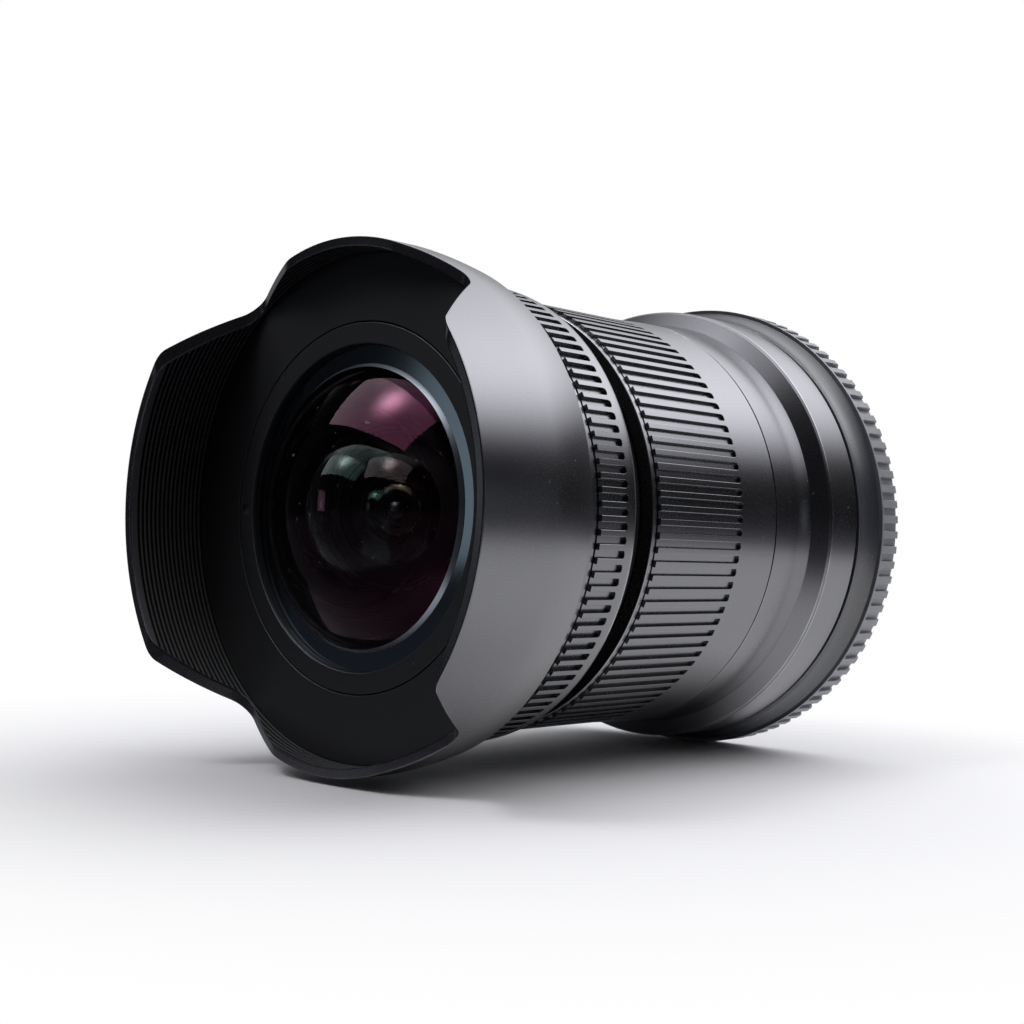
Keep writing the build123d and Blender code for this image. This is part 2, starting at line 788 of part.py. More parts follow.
# Front spacer: it carries the clamping force of the front element to the second element
second_front_rim = boss_rear + spacer_thickness
front_spacer = ring(second_clear_radius + glass_fit, front_boss_radius, boss_rear, second_front_rim)
finish(front_spacer, "front_spacer")

# Second element
second_vertex = second_front_rim - sag(second_curve, second_clear_radius)
second_hollow_vertex = second_vertex + second_centre_thickness
second_rear_rim = second_hollow_vertex + sag(second_hollow_curve, second_hollow_radius)
second_element = lens_element(
    second_radius,
    (second_clear_radius, second_curve, second_vertex),
    (second_hollow_radius, second_hollow_curve, second_hollow_vertex),
)
finish(second_element, "second_element")

# Third element, spacer and fourth element, put into the front cell from behind
third_front_rim = second_rear_rim + cell_lip
third_vertex = third_front_rim - sag(third_front_curve, middle_clear_radius)
third_rear_vertex = third_vertex + third_centre_thickness
third_rear_rim = third_rear_vertex + sag(third_rear_curve, middle_clear_radius)
third_element = lens_element(
    middle_radius,
    (middle_clear_radius, third_front_curve, third_vertex),
    (middle_clear_radius, third_rear_curve, third_rear_vertex),
)
finish(third_element, "third_element")

fourth_front_rim = third_rear_rim + middle_spacer_length
middle_spacer = ring(middle_clear_radius, middle_radius, third_rear_rim, fourth_front_rim)
finish(middle_spacer, "middle_spacer")

fourth_rear_rim = fourth_front_rim + fourth_edge
fourth_vertex = fourth_front_rim - sag(fourth_front_curve, middle_clear_radius)
fourth_rear_vertex = fourth_rear_rim - sag(fourth_rear_curve, middle_clear_radius)
fourth_element = lens_element(
    middle_radius,
    (middle_clear_radius, fourth_front_curve, fourth_vertex),
    (middle_clear_radius, fourth_rear_curve, fourth_rear_vertex),
)
finish(fourth_element, "fourth_element")

# Front cell ring: threaded ring that closes the front cell
cell_ring_rear = fourth_rear_rim + cell_ring_length
middle_bore = middle_radius + glass_fit
front_cell_ring = ring(middle_clear_radius + glass_fit, middle_bore, fourth_rear_rim, cell_ring_rear)
finish(front_cell_ring, "front_cell_ring")

# Front cell: turned tube for the second to the fourth element, clamped under the front frame
cell_rear = cell_ring_rear + cell_ring_land
cell_flange_radius = optical_barrel_bore + cell_flange_step
cell_flange_rear = frame_rear + cell_flange_thickness
boss_bore = front_boss_radius + glass_fit
second_bore = second_radius + glass_fit
cell_tail_radius = second_bore + cell_tail_wall
front_cell = turned([
    (boss_bore, frame_rear),
    (cell_flange_radius, frame_rear),
    (cell_flange_radius, cell_flange_rear),
    (front_cell_radius, cell_flange_rear),
    (front_cell_radius, second_front_rim + cell_wall),
    (cell_tail_radius, second_front_rim + cell_wall),
    (cell_tail_radius, cell_rear),
    (middle_bore, cell_rear),
    (middle_bore, third_front_rim),
    (middle_clear_radius, third_front_rim),
    (middle_clear_radius, second_rear_rim),
    (second_bore, second_rear_rim),
    (second_bore, second_front_rim),
    (boss_bore, second_front_rim),
])
finish(front_cell, "front_cell")

# Depths of the iris, behind the front cell
iris_front = cell_rear + iris_setback
cover_rear = iris_front + iris_cover_thickness
drive_front = cover_rear + iris_gap
drive_rear = drive_front + drive_ring_thickness
blade_stack = blade_count * blade_pitch
iris_floor_front = drive_rear + iris_gap + blade_stack
iris_floor_rear = iris_floor_front + iris_floor_thickness
pivot_end = iris_floor_rear - pin_end

# Angles of the windows that let the link swing
link_half_width = math.degrees((link_post_radius + window_margin) / optical_barrel_bore)
link_start = link_angle - link_half_width
link_sweep = aperture_throw + 2 * link_half_width
link_window_front = link_post_y - link_post_radius - window_margin
link_window_rear = link_post_y + link_post_radius + window_margin

# Optical barrel: sliding tube that carries both cells and the iris, screwed to the front frame
shelf_front = iris_floor_rear
shelf_rear = shelf_front + barrel_shelf_length
with BuildPart() as optical_barrel:
    with BuildSketch():
        section(optical_barrel_bore, optical_barrel_radius, frame_rear, barrel_rear)
        section(optical_barrel_bore, barrel_flange_radius, frame_rear, frame_rear + barrel_flange_thickness)
        section(optical_barrel_bore - barrel_shelf_width, optical_barrel_bore, shelf_front, shelf_rear)
        section(0, cell_flange_radius + trim_fit, frame_rear, cell_flange_rear, mode=Mode.SUBTRACT)
    revolve(axis=Axis.Y)
    add(arc_window(link_bar_outer, barrel_flange_radius, link_window_front, link_window_rear,
                   link_start, link_sweep), mode=Mode.SUBTRACT)
    with BuildSketch(station(frame_rear)):
        with PolarLocations(barrel_screw_circle, barrel_screw_count):
            Circle(small_screw_radius)
    extrude(amount=-barrel_flange_thickness, mode=Mode.SUBTRACT)
    for index in range(roller_count):
        hole_plane = radial_plane(0, 360 * index / roller_count, roller_y)
        with BuildSketch(hole_plane.offset(optical_barrel_bore - optical_barrel_wall)):
            Circle(roller_shank_radius)
        extrude(amount=3 * optical_barrel_wall, mode=Mode.SUBTRACT)
finish(optical_barrel.part, "optical_barrel")

# Barrel screws: they hold the optical barrel to the front frame from behind
barrel_screw = screw(small_screw_head_radius, small_screw_head_height, small_screw_radius,
                     small_screw_length, frame_rear + barrel_flange_thickness + small_screw_head_height,
                     frame_front)
barrel_screws = circle_of_screws(barrel_screw, barrel_screw_circle, barrel_screw_count, 0)
finish(barrel_screws, "barrel_screws")

# Cam rollers: bushes with pressed shanks in the optical barrel, through both slots
roller_top = sleeve_radius - 2 * running_fit
with BuildPart() as cam_roller:
    with BuildSketch(radial_plane(optical_barrel_bore + running_fit, 0, roller_y)):
        Circle(roller_shank_radius)
    extrude(amount=optical_barrel_wall)
    with BuildSketch(radial_plane(optical_barrel_radius, 0, roller_y)):
        Circle(roller_radius)
    extrude(amount=roller_top - optical_barrel_radius)
cam_rollers = Compound(children=around(cam_roller.part, roller_count))
finish(cam_rollers, "cam_rollers")

# Front frame: plate with a nose for the glass, a rim under the hood and a bearing skirt
skirt_rear = aperture_rear - retainer_setback
click_circle = (aperture_bore + aperture_floor_radius) / 2
click_pocket_depth = frame_plate_thickness - click_pocket_floor
with BuildPart() as front_frame:
    with BuildSketch():
        with BuildLine():
            Polyline(
                (front_flange_radius + glass_fit, ring_rear),
                (ring_outer_radius + trim_fit, ring_rear),
                (ring_outer_radius + trim_fit, trim_rear),
                (nose_radius, trim_rear),
                (nose_radius, frame_front),
                (frame_rim_radius, frame_front),
                (frame_rim_radius, hood_rear),
                (frame_rim_bore, hood_rear),
                (frame_rim_bore, frame_rear),
                (frame_bearing_radius, frame_rear),
                (frame_bearing_radius, skirt_rear),
                (frame_skirt_bore, skirt_rear),
                (frame_skirt_bore, frame_rear),
                (boss_bore, frame_rear),
                (boss_bore, flange_glass_rear),
                (front_flange_radius + glass_fit, flange_glass_rear),
                close=True,
            )
        make_face()
    revolve(axis=Axis.Y)
    add(arc_window(optical_barrel_radius, aperture_bore, link_window_front, link_window_rear,
                   link_start, link_sweep), mode=Mode.SUBTRACT)
    with BuildSketch(station(frame_front)):
        with PolarLocations(hood_screw_circle, hood_screw_count):
            Circle(screw_radius)
    extrude(amount=-(screw_length + screw_sink - hood_flange_thickness), mode=Mode.SUBTRACT)
    with BuildSketch(station(frame_rear)):
        with PolarLocations(barrel_screw_circle, barrel_screw_count):
            Circle(small_screw_radius)
    extrude(amount=small_screw_length - barrel_flange_thickness, mode=Mode.SUBTRACT)
    with BuildSketch(station(frame_rear)):
        with PolarLocations(click_circle, 1, start_angle=click_angle):
            Circle(click_ball_radius + running_fit)
    extrude(amount=click_pocket_depth, mode=Mode.SUBTRACT)
finish(front_frame.part, "front_frame")

# Click ball and its spring, in a pocket of the front frame
ball_y = hub_front + click_protrusion - click_ball_radius
with BuildPart() as click_ball:
    with Locations(polar(click_circle, click_angle, ball_y)):
        Sphere(click_ball_radius)
finish(click_ball.part, "click_ball")

spring_front = frame_rear - click_pocket_depth + click_spring_wire
ball_seat = math.sqrt((click_ball_radius + click_spring_wire) ** 2 - click_spring_radius ** 2)
spring_height = ball_y - ball_seat - click_spring_wire / 4 - spring_front
spring_centre = polar(click_circle, click_angle, spring_front)
with BuildPart() as click_spring:
    with BuildLine():
        coil = Helix(spring_height / click_spring_turns, spring_height, click_spring_radius,
                     center=spring_centre, direction=(0, 1, 0))
    with BuildSketch(Plane(origin=coil @ 0, z_dir=coil % 0)):
        Circle(click_spring_wire)
    sweep(is_frenet=True)
finish(click_spring.part, "click_spring")

# Aperture ring: ribbed ring with a plain collar that runs under the hood, and click dimples
rib_front = aperture_front + aperture_collar_length
rib_rear = aperture_rear - aperture_rear_band
counterbore_front = skirt_rear - retainer_length - open_gap
counterbore_radius = frame_bearing_radius + retainer_height + open_gap
with BuildPart() as aperture_ring:
    with BuildSketch() as half_section:
        with BuildLine():
            Polyline(
                (aperture_bore, hub_front),
                (aperture_floor_radius, hub_front),
                (aperture_floor_radius, rib_front - groove_width),
                (aperture_floor_radius - groove_depth, rib_front - groove_width),
                (aperture_floor_radius - groove_depth, rib_front),
                (aperture_top_radius, rib_front),
                (aperture_top_radius, aperture_rear),
                (counterbore_radius, aperture_rear),
                (counterbore_radius, counterbore_front),
                (aperture_bore, counterbore_front),
                close=True,
            )
        make_face()
        rear_corner = half_section.vertices().sort_by_distance((aperture_top_radius, aperture_rear))[0]
        rear_wall = aperture_top_radius - counterbore_radius
        fillet(rear_corner, min(aperture_rear_round, rear_wall - trim_fit))
    revolve(axis=Axis.Y)
    aperture_gap = rib_gap(aperture_recess_share, aperture_rib_count, aperture_floor_radius,
                           aperture_rib_height, rib_front - groove_width, rib_rear)
    add(around(aperture_gap, aperture_rib_count), mode=Mode.SUBTRACT)
    with BuildSketch(radial_plane(aperture_bore - aperture_wall, link_angle, link_post_y)):
        Circle(link_post_radius)
    extrude(amount=aperture_wall + link_socket, mode=Mode.SUBTRACT)
    with BuildSketch(station(hub_front)):
        with BuildLine():
            track_line = CenterArc((0, 0), click_circle, click_angle - aperture_throw, aperture_throw)
        chord = math.sqrt(click_ball_radius ** 2 - (click_ball_radius - click_protrusion) ** 2)
        SlotArc(track_line, 2 * (chord + 2 * click_track_clearance))
    extrude(amount=-click_protrusion - click_track_clearance, mode=Mode.SUBTRACT)
    track_floor = hub_front + click_protrusion + click_track_clearance
    with BuildSketch(station(track_floor)):
        for index in range(click_stop_count):
            stop_angle = click_angle - aperture_throw * index / (click_stop_count - 1)
            with PolarLocations(click_circle, 1, start_angle=stop_angle):
                Circle(click_dimple_radius)
    extrude(amount=-click_dimple_depth, mode=Mode.SUBTRACT)
finish(aperture_ring.part, "aperture_ring")

# Aperture ring retainer: threaded on the end of the frame's skirt
aperture_ring_retainer = ring(frame_bearing_radius, frame_bearing_radius + retainer_height,
                              skirt_rear - retainer_length, skirt_rear)
finish(aperture_ring_retainer, "aperture_ring_retainer")

# Aperture link: post in the aperture ring and a bar along the inside of the optical barrel
with BuildPart() as aperture_link:
    with BuildSketch(radial_plane(link_bar_inner, link_angle, link_post_y)):
        Circle(link_post_radius)
    extrude(amount=aperture_bore + link_socket - link_bar_inner)
    bar_front = link_post_y - link_post_radius
    with BuildSketch(radial_plane(link_bar_inner, link_angle, (bar_front + drive_rear) / 2)):
        Rectangle(drive_rear - bar_front, link_bar_width)
    extrude(amount=link_bar_thickness)
finish(aperture_link.part, "aperture_link")

# Angles of the window in the iris rim that lets the drive ring's arm swing
arm_half_angle = math.degrees((link_bar_width / 2 + window_margin) / drive_ring_radius)

# Iris base: cup with pivot holes in its floor, a rim and a flange that seats in the barrel
rim_bore = drive_ring_radius + running_fit
rim_radius = rim_bore + iris_rim_wall
with BuildPart() as iris_base:
    with BuildSketch():
        section(stop_radius, optical_barrel_bore - glass_fit, iris_floor_front, iris_floor_rear)
        section(rim_bore, rim_radius, iris_front, iris_floor_front)
    revolve(axis=Axis.Y)
    with BuildSketch(station(iris_floor_front)):
        with PolarLocations(blade_pivot_radius, blade_count):
            Circle(pin_radius + pin_fit)
    extrude(amount=-iris_floor_thickness + pin_end / 2, mode=Mode.SUBTRACT)
    add(arc_window(drive_ring_radius - iris_rim_wall, rim_radius + iris_rim_wall, iris_front,
                   drive_rear + iris_gap, link_angle - arm_half_angle,
                   aperture_throw + 2 * arm_half_angle), mode=Mode.SUBTRACT)
finish(iris_base.part, "iris_base")

# Iris cover: threaded ring that holds the drive ring in the iris base
iris_cover = ring(rim_bore - iris_cover_width, rim_bore, iris_front, cover_rear)
finish(iris_cover, "iris_cover")

# Path of a blade's drive pin as the drive ring sees it, from fully open to fully closed
pin_path = []
for share in (0.0, 0.5, 1.0):
    arm_direction = math.radians(blade_arm_angle + share * blade_swing)
    pin_x = blade_pivot_radius + blade_arm * math.cos(arm_direction)
    pin_z = blade_arm * math.sin(arm_direction)
    pin_angle = math.atan2(pin_z, pin_x) - math.radians(share * aperture_throw)
    pin_reach = math.hypot(pin_x, pin_z)
    pin_path.append((pin_reach * math.cos(pin_angle), pin_reach * math.sin(pin_angle)))

# Iris drive ring: turned by the aperture link, each curved slot swings one blade
with BuildPart() as pin_slot:
    with BuildSketch(station(drive_rear)):
        with BuildLine():
            pin_arc = ThreePointArc(*pin_path)
        SlotArc(pin_arc, 2 * (pin_radius + pin_fit))
    extrude(amount=drive_ring_thickness)
with BuildPart() as iris_drive_ring:
    with BuildSketch():
        section(drive_ring_bore, drive_ring_radius, drive_front, drive_rear)
    revolve(axis=Axis.Y)
    with BuildSketch(radial_plane(drive_ring_bore, link_angle, (drive_front + drive_rear) / 2)):
        Rectangle(drive_ring_thickness, link_bar_width)
    extrude(amount=link_bar_inner - drive_ring_bore)
    add(around(pin_slot.part, blade_count), mode=Mode.SUBTRACT)
finish(iris_drive_ring.part, "iris_drive_ring")


def iris_blade(index):
    """Blade at its own level: a curved leaf with an arm, a pivot pin and a drive pin."""
    leaf_rear = iris_floor_front - (index + 0.5) * blade_pitch + blade_thickness / 2
    leaf_front = leaf_rear - blade_thickness
    middle_radius_of_leaf = (blade_inner_radius + blade_outer_radius) / 2
    leaf_width = blade_outer_radius - blade_inner_radius
    arm_end = (
        blade_pivot_radius + blade_arm * math.cos(math.radians(blade_arm_angle)),
        blade_arm * math.sin(math.radians(blade_arm_angle)),
    )
    round_angle = math.degrees(leaf_width / 2 / middle_radius_of_leaf)
    with BuildPart() as blade:
        with BuildSketch(station(leaf_rear)):
            with BuildLine():
                leaf_line = CenterArc((0, 0), middle_radius_of_leaf, blade_start + round_angle,
                                      blade_end - blade_start - 2 * round_angle)
            SlotArc(leaf_line, leaf_width)
            with Locations((blade_pivot_radius, 0)):
                Circle(blade_boss_radius)
            with BuildLine():
                neck_line = Line((blade_pivot_radius, 0), leaf_line @ 0)
            SlotCenterPoint(neck_line @ 0.5, neck_line @ 1, blade_neck_width)
            with BuildLine():
                arm_line = Line((blade_pivot_radius, 0), arm_end)
            SlotCenterPoint(arm_line @ 0.5, arm_line @ 1, blade_arm_width)
        extrude(amount=blade_thickness)
        with BuildSketch(station(pivot_end)):
            with Locations((blade_pivot_radius, 0)):
                Circle(pin_radius)
        extrude(amount=pivot_end - leaf_rear)
        with BuildSketch(station(leaf_front)):
            with Locations(arm_end):
                Circle(pin_radius)
        extrude(amount=leaf_front - drive_front - running_fit)
    return turn(blade.part, 360 * index / blade_count)


for index in range(blade_count):
    finish(iris_blade(index), "iris_blade_" + str(index + 1).zfill(2))

# Rear elements, their spacers and the ring behind them, put into the rear cell from behind
rear_cell_front = iris_floor_rear + rear_glass_gap
fifth_front_rim = rear_cell_front + rear_cell_lip
fifth_vertex = fifth_front_rim - sag(fifth_front_curve, fifth_clear_radius)
cement_vertex = fifth_vertex + fifth_centre_thickness
sixth_rear_vertex = cement_vertex + sixth_centre_thickness
sixth_rear_rim = sixth_rear_vertex + sag(sixth_rear_curve, fifth_clear_radius)
fifth_element = lens_element(
    rear_radius,
    (fifth_clear_radius, fifth_front_curve, fifth_vertex),
    (rear_radius, cement_curve, cement_vertex),
)
finish(fifth_element, "fifth_element")
sixth_element = lens_element(
    rear_radius,
    (rear_radius, cement_curve, cement_vertex),
    (fifth_clear_radius, sixth_rear_curve, sixth_rear_vertex),
)
finish(sixth_element, "sixth_element")

seventh_front_rim = sixth_rear_rim + rear_spacer_length
rear_spacer = ring(rear_radius - rear_spacer_wall, rear_radius, sixth_rear_rim, seventh_front_rim)
finish(rear_spacer, "rear_spacer")
seventh_vertex = seventh_front_rim - sag(seventh_front_curve, fifth_clear_radius)
seventh_rear_vertex = seventh_vertex + seventh_centre_thickness
seventh_rear_rim = seventh_rear_vertex + sag(seventh_rear_curve, fifth_clear_radius)
seventh_element = lens_element(
    rear_radius,
    (fifth_clear_radius, seventh_front_curve, seventh_vertex),
    (fifth_clear_radius, seventh_rear_curve, seventh_rear_vertex),
)
finish(seventh_element, "seventh_element")

eighth_front_rim = seventh_rear_rim + tail_spacer_length
tail_spacer = ring(rear_radius - tail_spacer_wall, rear_radius, seventh_rear_rim, eighth_front_rim)
finish(tail_spacer, "tail_spacer")
eighth_rear_rim = eighth_front_rim + eighth_edge
eighth_vertex = eighth_front_rim - sag(eighth_front_curve, eighth_clear_radius)
eighth_rear_vertex = eighth_rear_rim - sag(eighth_rear_curve, eighth_clear_radius)
eighth_element = lens_element(
    rear_radius,
    (eighth_clear_radius, eighth_front_curve, eighth_vertex),
    (eighth_clear_radius, eighth_rear_curve, eighth_rear_vertex),
)
finish(eighth_element, "eighth_element")

rear_bore = rear_radius + glass_fit
tail_ring_rear = eighth_rear_rim + tail_ring_length
rear_retaining_ring = ring(eighth_clear_radius + glass_fit, rear_bore, eighth_rear_rim, tail_ring_rear)
finish(rear_retaining_ring, "rear_retaining_ring")

# Rear cell: turned tube for the rear elements, its flange held against the barrel's shelf
rear_cell_radius = rear_bore + rear_cell_wall
rear_flange_rear = shelf_rear + rear_flange_thickness
rear_cell_rear = tail_ring_rear + tail_land
rear_cell = turned([
    (fifth_clear_radius + glass_fit, rear_cell_front),
    (rear_cell_radius, rear_cell_front),
    (rear_cell_radius, shelf_rear),
    (optical_barrel_bore - glass_fit, shelf_rear),
    (optical_barrel_bore - glass_fit, rear_flange_rear),
    (rear_cell_radius, rear_flange_rear),
    (rear_cell_radius, rear_cell_rear),
    (rear_bore, rear_cell_rear),
    (rear_bore, fifth_front_rim),
    (fifth_clear_radius + glass_fit, fifth_front_rim),
])
finish(rear_cell, "rear_cell")

# Rear cell ring: threaded into the optical barrel behind the rear cell's flange
rear_cell_ring = ring(optical_barrel_bore - rear_ring_width, optical_barrel_bore, rear_flange_rear,
                      rear_flange_rear + rear_ring_thickness)
finish(rear_cell_ring, "rear_cell_ring")

# Rear cap: moulded cup with a hollow flare, a ribbed grip and three inner lugs
cap_front = flange + cap_gap
cap_rear = cap_front + cap_length
cap_rim_radius = collar_radius - cap_rim_step
cap_flare_radius = collar_radius + cap_flare_height
cap_top_radius = cap_flare_radius + cap_rib_height
cap_flare_rear = cap_front + cap_flare_length
cap_bore = cap_rim_radius - cap_wall
cap_floor = cap_rear - cap_back_thickness
lug_rear = tab_front - cap_lug_clearance
with BuildPart() as rear_cap:
    with BuildSketch():
        flare_middle = (
            (cap_rim_radius + cap_flare_radius) / 2 - cap_flare_curve / 2,
            (cap_front + cap_flare_rear) / 2 + cap_flare_curve / 2,
        )
        with BuildLine():
            ThreePointArc((cap_rim_radius, cap_front), flare_middle, (cap_flare_radius, cap_flare_rear))
            Polyline(
                (cap_flare_radius, cap_flare_rear),
                (cap_top_radius, cap_flare_rear),
                (cap_top_radius, cap_rear - cap_back_chamfer),
                (cap_top_radius - cap_back_chamfer, cap_rear),
                (0, cap_rear),
                (0, cap_floor),
                (cap_bore, cap_floor),
                (cap_bore, cap_front),
                (cap_rim_radius, cap_front),
            )
        make_face()
    revolve(axis=Axis.Y)
    cap_gap_cutter = rib_gap(cap_rib_share, cap_rib_count, cap_flare_radius, cap_rib_height,
                             cap_flare_rear + cap_lip, cap_rear + cap_lip, open_front=False)
    add(around(cap_gap_cutter, cap_rib_count), mode=Mode.SUBTRACT)
    lug = arc_window(throat_radius + cap_lug_clearance, cap_bore + cap_wall / 2,
                     lug_rear - cap_lug_thickness, lug_rear, -cap_lug_sweep / 2, cap_lug_sweep)
    add(around(lug, tab_count))
finish(rear_cap.part, "rear_cap")
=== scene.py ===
import math

import bpy
import bmesh
import numpy as np
from mathutils import Matrix, Vector


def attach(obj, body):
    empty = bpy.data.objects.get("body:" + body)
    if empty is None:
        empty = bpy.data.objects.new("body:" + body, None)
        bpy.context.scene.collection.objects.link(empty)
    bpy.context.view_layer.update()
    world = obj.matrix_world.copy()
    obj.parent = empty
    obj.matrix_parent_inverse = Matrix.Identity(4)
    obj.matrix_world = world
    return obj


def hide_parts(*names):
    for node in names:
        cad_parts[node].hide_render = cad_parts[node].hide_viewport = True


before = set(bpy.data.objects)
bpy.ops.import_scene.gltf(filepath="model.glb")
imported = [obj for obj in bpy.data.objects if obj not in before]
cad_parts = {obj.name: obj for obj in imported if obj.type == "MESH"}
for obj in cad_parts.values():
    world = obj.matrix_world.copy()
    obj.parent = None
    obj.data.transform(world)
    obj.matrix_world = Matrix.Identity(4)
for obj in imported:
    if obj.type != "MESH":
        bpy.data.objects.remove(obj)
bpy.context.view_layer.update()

# Camera
# A short telephoto on a square frame, just above the table and half in front of the lens.
camera_right = (0.73618, 0.67632, 0.02521)
camera_up = (0.0, -0.03725, 0.99931)
camera_back = (0.67679, -0.73567, -0.02742)
camera_place = (0.1511, -0.2039, -0.00557)
camera_data = bpy.data.cameras.new("camera")
camera_data.sensor_width = 36.0
camera_data.lens = 54.14
camera_data.clip_start = 0.01
camera_data.clip_end = 60.0
camera = bpy.data.objects.new("camera", camera_data)
bpy.context.scene.collection.objects.link(camera)
camera_turn = Matrix((camera_right, camera_up, camera_back)).transposed().to_4x4()
camera.matrix_world = Matrix.Translation(camera_place) @ camera_turn
bpy.context.scene.camera = camera
bpy.context.scene.view_settings.view_transform = "Standard"


# Studio
# White table in a dark room with a pale ceiling, a grey backdrop behind the lens and a narrow
# window card beside it. A wide soft box hangs overhead, and a long one stands before the glass.
class Wire:
    """The output of a node. Sums, differences, products and powers of wires add Math nodes."""

    def __init__(self, finish, socket):
        self.finish = finish
        self.socket = socket

    def output(self, name):
        """Another output of the same node."""
        return Wire(self.finish, self.socket.node.outputs[name])

    def __add__(self, other):
        return self.finish.math("ADD", self, other)

    def __sub__(self, other):
        return self.finish.math("SUBTRACT", self, other)

    def __rsub__(self, other):
        return self.finish.math("SUBTRACT", other, self)

    def __mul__(self, other):
        return self.finish.math("MULTIPLY", self, other)

    def __pow__(self, other):
        return self.finish.math("POWER", self, other)


class Finish:
    """Nodes of a material, a lamp or the world, added one at a time."""

    def __init__(self, owner):
        owner.use_nodes = True
        self.owner = owner
        self.tree = owner.node_tree
        self.tree.nodes.clear()

    def node(self, kind, settings=None, sockets=None, out=0):
        """One node: its settings come first, then the values or links of its sockets."""
        made = self.tree.nodes.new(kind)
        for key, value in (settings or {}).items():
            setattr(made, key, value)
        for key, value in (sockets or {}).items():
            if isinstance(value, Wire):
                self.tree.links.new(value.socket, made.inputs[key])
            else:
                made.inputs[key].default_value = value
        return Wire(self, made.outputs[out]) if made.outputs else None

    def math(self, operation, first, second):
        """A Math node on two numbers or wires."""
        return self.node("ShaderNodeMath", {"operation": operation}, {0: first, 1: second})

    def vector(self, operation, first, second, out=0):
        """A Vector Math node on two vectors."""
        return self.node("ShaderNodeVectorMath", {"operation": operation}, {0: first, 1: second}, out)

    def blend(self, share, first, second):
        """Colour between two colours, each a wire or red, green and blue."""
        first, second = (end if isinstance(end, Wire) else (*end, 1.0) for end in (first, second))
        return self.node("ShaderNodeMix", {"data_type": "RGBA"}, {0: share, 6: first, 7: second}, 2)

    def step(self, value, low, high):
        """Smooth rise from 0 at low to 1 at high."""
        return self.node("ShaderNodeMapRange", {"interpolation_type": "SMOOTHSTEP"},
                         {0: value, 1: low, 2: high, 3: 0.0, 4: 1.0})

    def noise(self, where, scale, detail):
        """Noise around 0.5 with features of about one over the scale, in metres."""
        return self.node("ShaderNodeTexNoise", None, {"Vector": where, "Scale": scale, "Detail": detail})

    def ray(self, kind):
        """1 for rays of this kind and 0 for others."""
        return self.node("ShaderNodeLightPath", None, None, kind)

    def place(self):
        """Place on the piece, in metres."""
        return self.node("ShaderNodeTexCoord", None, None, "Object")

    def cylindrical(self, place):
        """Depth along the optical axis, and distance from it."""
        split = self.node("ShaderNodeSeparateXYZ", None, {0: place})
        x, y, z = split.output("X"), split.output("Y"), split.output("Z")
        return y, (x * x + z * z) ** 0.5

    def turning(self, place, scale):
        """Fine lines around the optical axis: noise of the depth plus the distance from it."""
        depth, radius = self.cylindrical(place)
        return self.node("ShaderNodeTexNoise", {"noise_dimensions": "1D"},
                         {"W": depth + radius, "Scale": scale, "Detail": 3.0})

    def edge_mark(self):
        """Edge weight of the mesh: above 0 on outer edges, below 0 in inner corners."""
        return self.node("ShaderNodeAttribute", {"attribute_name": "edge"}, None, "Fac")

    def bump(self, height, strength):
        """Normal of a relief that is a hundredth of a millimetre high."""
        return self.node("ShaderNodeBump", None,
                         {"Strength": strength, "Distance": 0.00001, "Height": height}, "Normal")

    def close(self, sockets):
        """Ends a material with one Principled shader, and gives the material."""
        shader = self.node("ShaderNodeBsdfPrincipled", None, sockets)
        self.node("ShaderNodeOutputMaterial", None, {"Surface": shader})
        return self.owner


def new_finish(name):
    """Empty material with the name of a finish."""
    return Finish(bpy.data.materials.new(name))


table_z = -0.0357
table_half = 3.0
table_mesh = bpy.data.meshes.new("table")
table_mesh.from_pydata([(-table_half, -table_half, table_z), (table_half, -table_half, table_z),
                        (table_half, table_half, table_z), (-table_half, table_half, table_z)],
                       [], [(0, 1, 2, 3)])
table = bpy.data.objects.new("table", table_mesh)
bpy.context.scene.collection.objects.link(table)

# The camera sees plain white far from the lens. Other rays meet a table painted with a pool of light, pale
# in a patch and painted dark outside it. Glossy rays also see a painted glow on that patch on the lens's
# right, which stands in for light on the lens's underside and fades out under the lens as a painted contact
# shadow.
lens_foot = (0.0, -0.037, table_z)
white_range = (0.045, 0.13)
painted_pool_middle = (0.02, 0.09, table_z)
painted_pool_range = (0.11, 0.21)
painted_glow_rise = (0.010, 0.034)
painted_glow_share = 0.8

white_card = new_finish("white_card")
spot = white_card.place()
far = white_card.step(white_card.vector("DISTANCE", spot, lens_foot, "Value"), *white_range)
# Painted pool of light: for rays other than the camera's, the table is painted dark away from the patch's
# middle.
outside_painted_pool = white_card.step(white_card.vector("DISTANCE", spot, painted_pool_middle, "Value"), *painted_pool_range)
# Painted contact shadow: the painted glow is full on the lens's right and fades out under the lens.
beside = white_card.step(white_card.node("ShaderNodeSeparateXYZ", None, {0: spot}, "X"), *painted_glow_rise)
eye = white_card.ray("Is Camera Ray")
painted_glow = white_card.ray("Is Glossy Ray") * beside * (1 - outside_painted_pool) * painted_glow_share
pool_painted_paper = white_card.blend(outside_painted_pool * (1 - eye), (0.88, 0.88, 0.89), (0.05, 0.05, 0.06))
card = white_card.node("ShaderNodeBsdfDiffuse", None, {"Color": pool_painted_paper})
glow = white_card.node("ShaderNodeEmission", None, {"Color": (1.0, 1.0, 1.0, 1.0), "Strength": 1.0})
shown = white_card.node("ShaderNodeMixShader", None, {0: far * eye + painted_glow, 1: card, 2: glow})
white_card.node("ShaderNodeOutputMaterial", None, {"Surface": shown})
table_mesh.materials.append(white_card.owner)

# Directions of the backdrop and the window card from the lens. The camera itself sees white in
# place of the room.
backdrop_way = (-0.677, 0.736, 0.0)
window_way = (0.69, -0.72, 0.0)

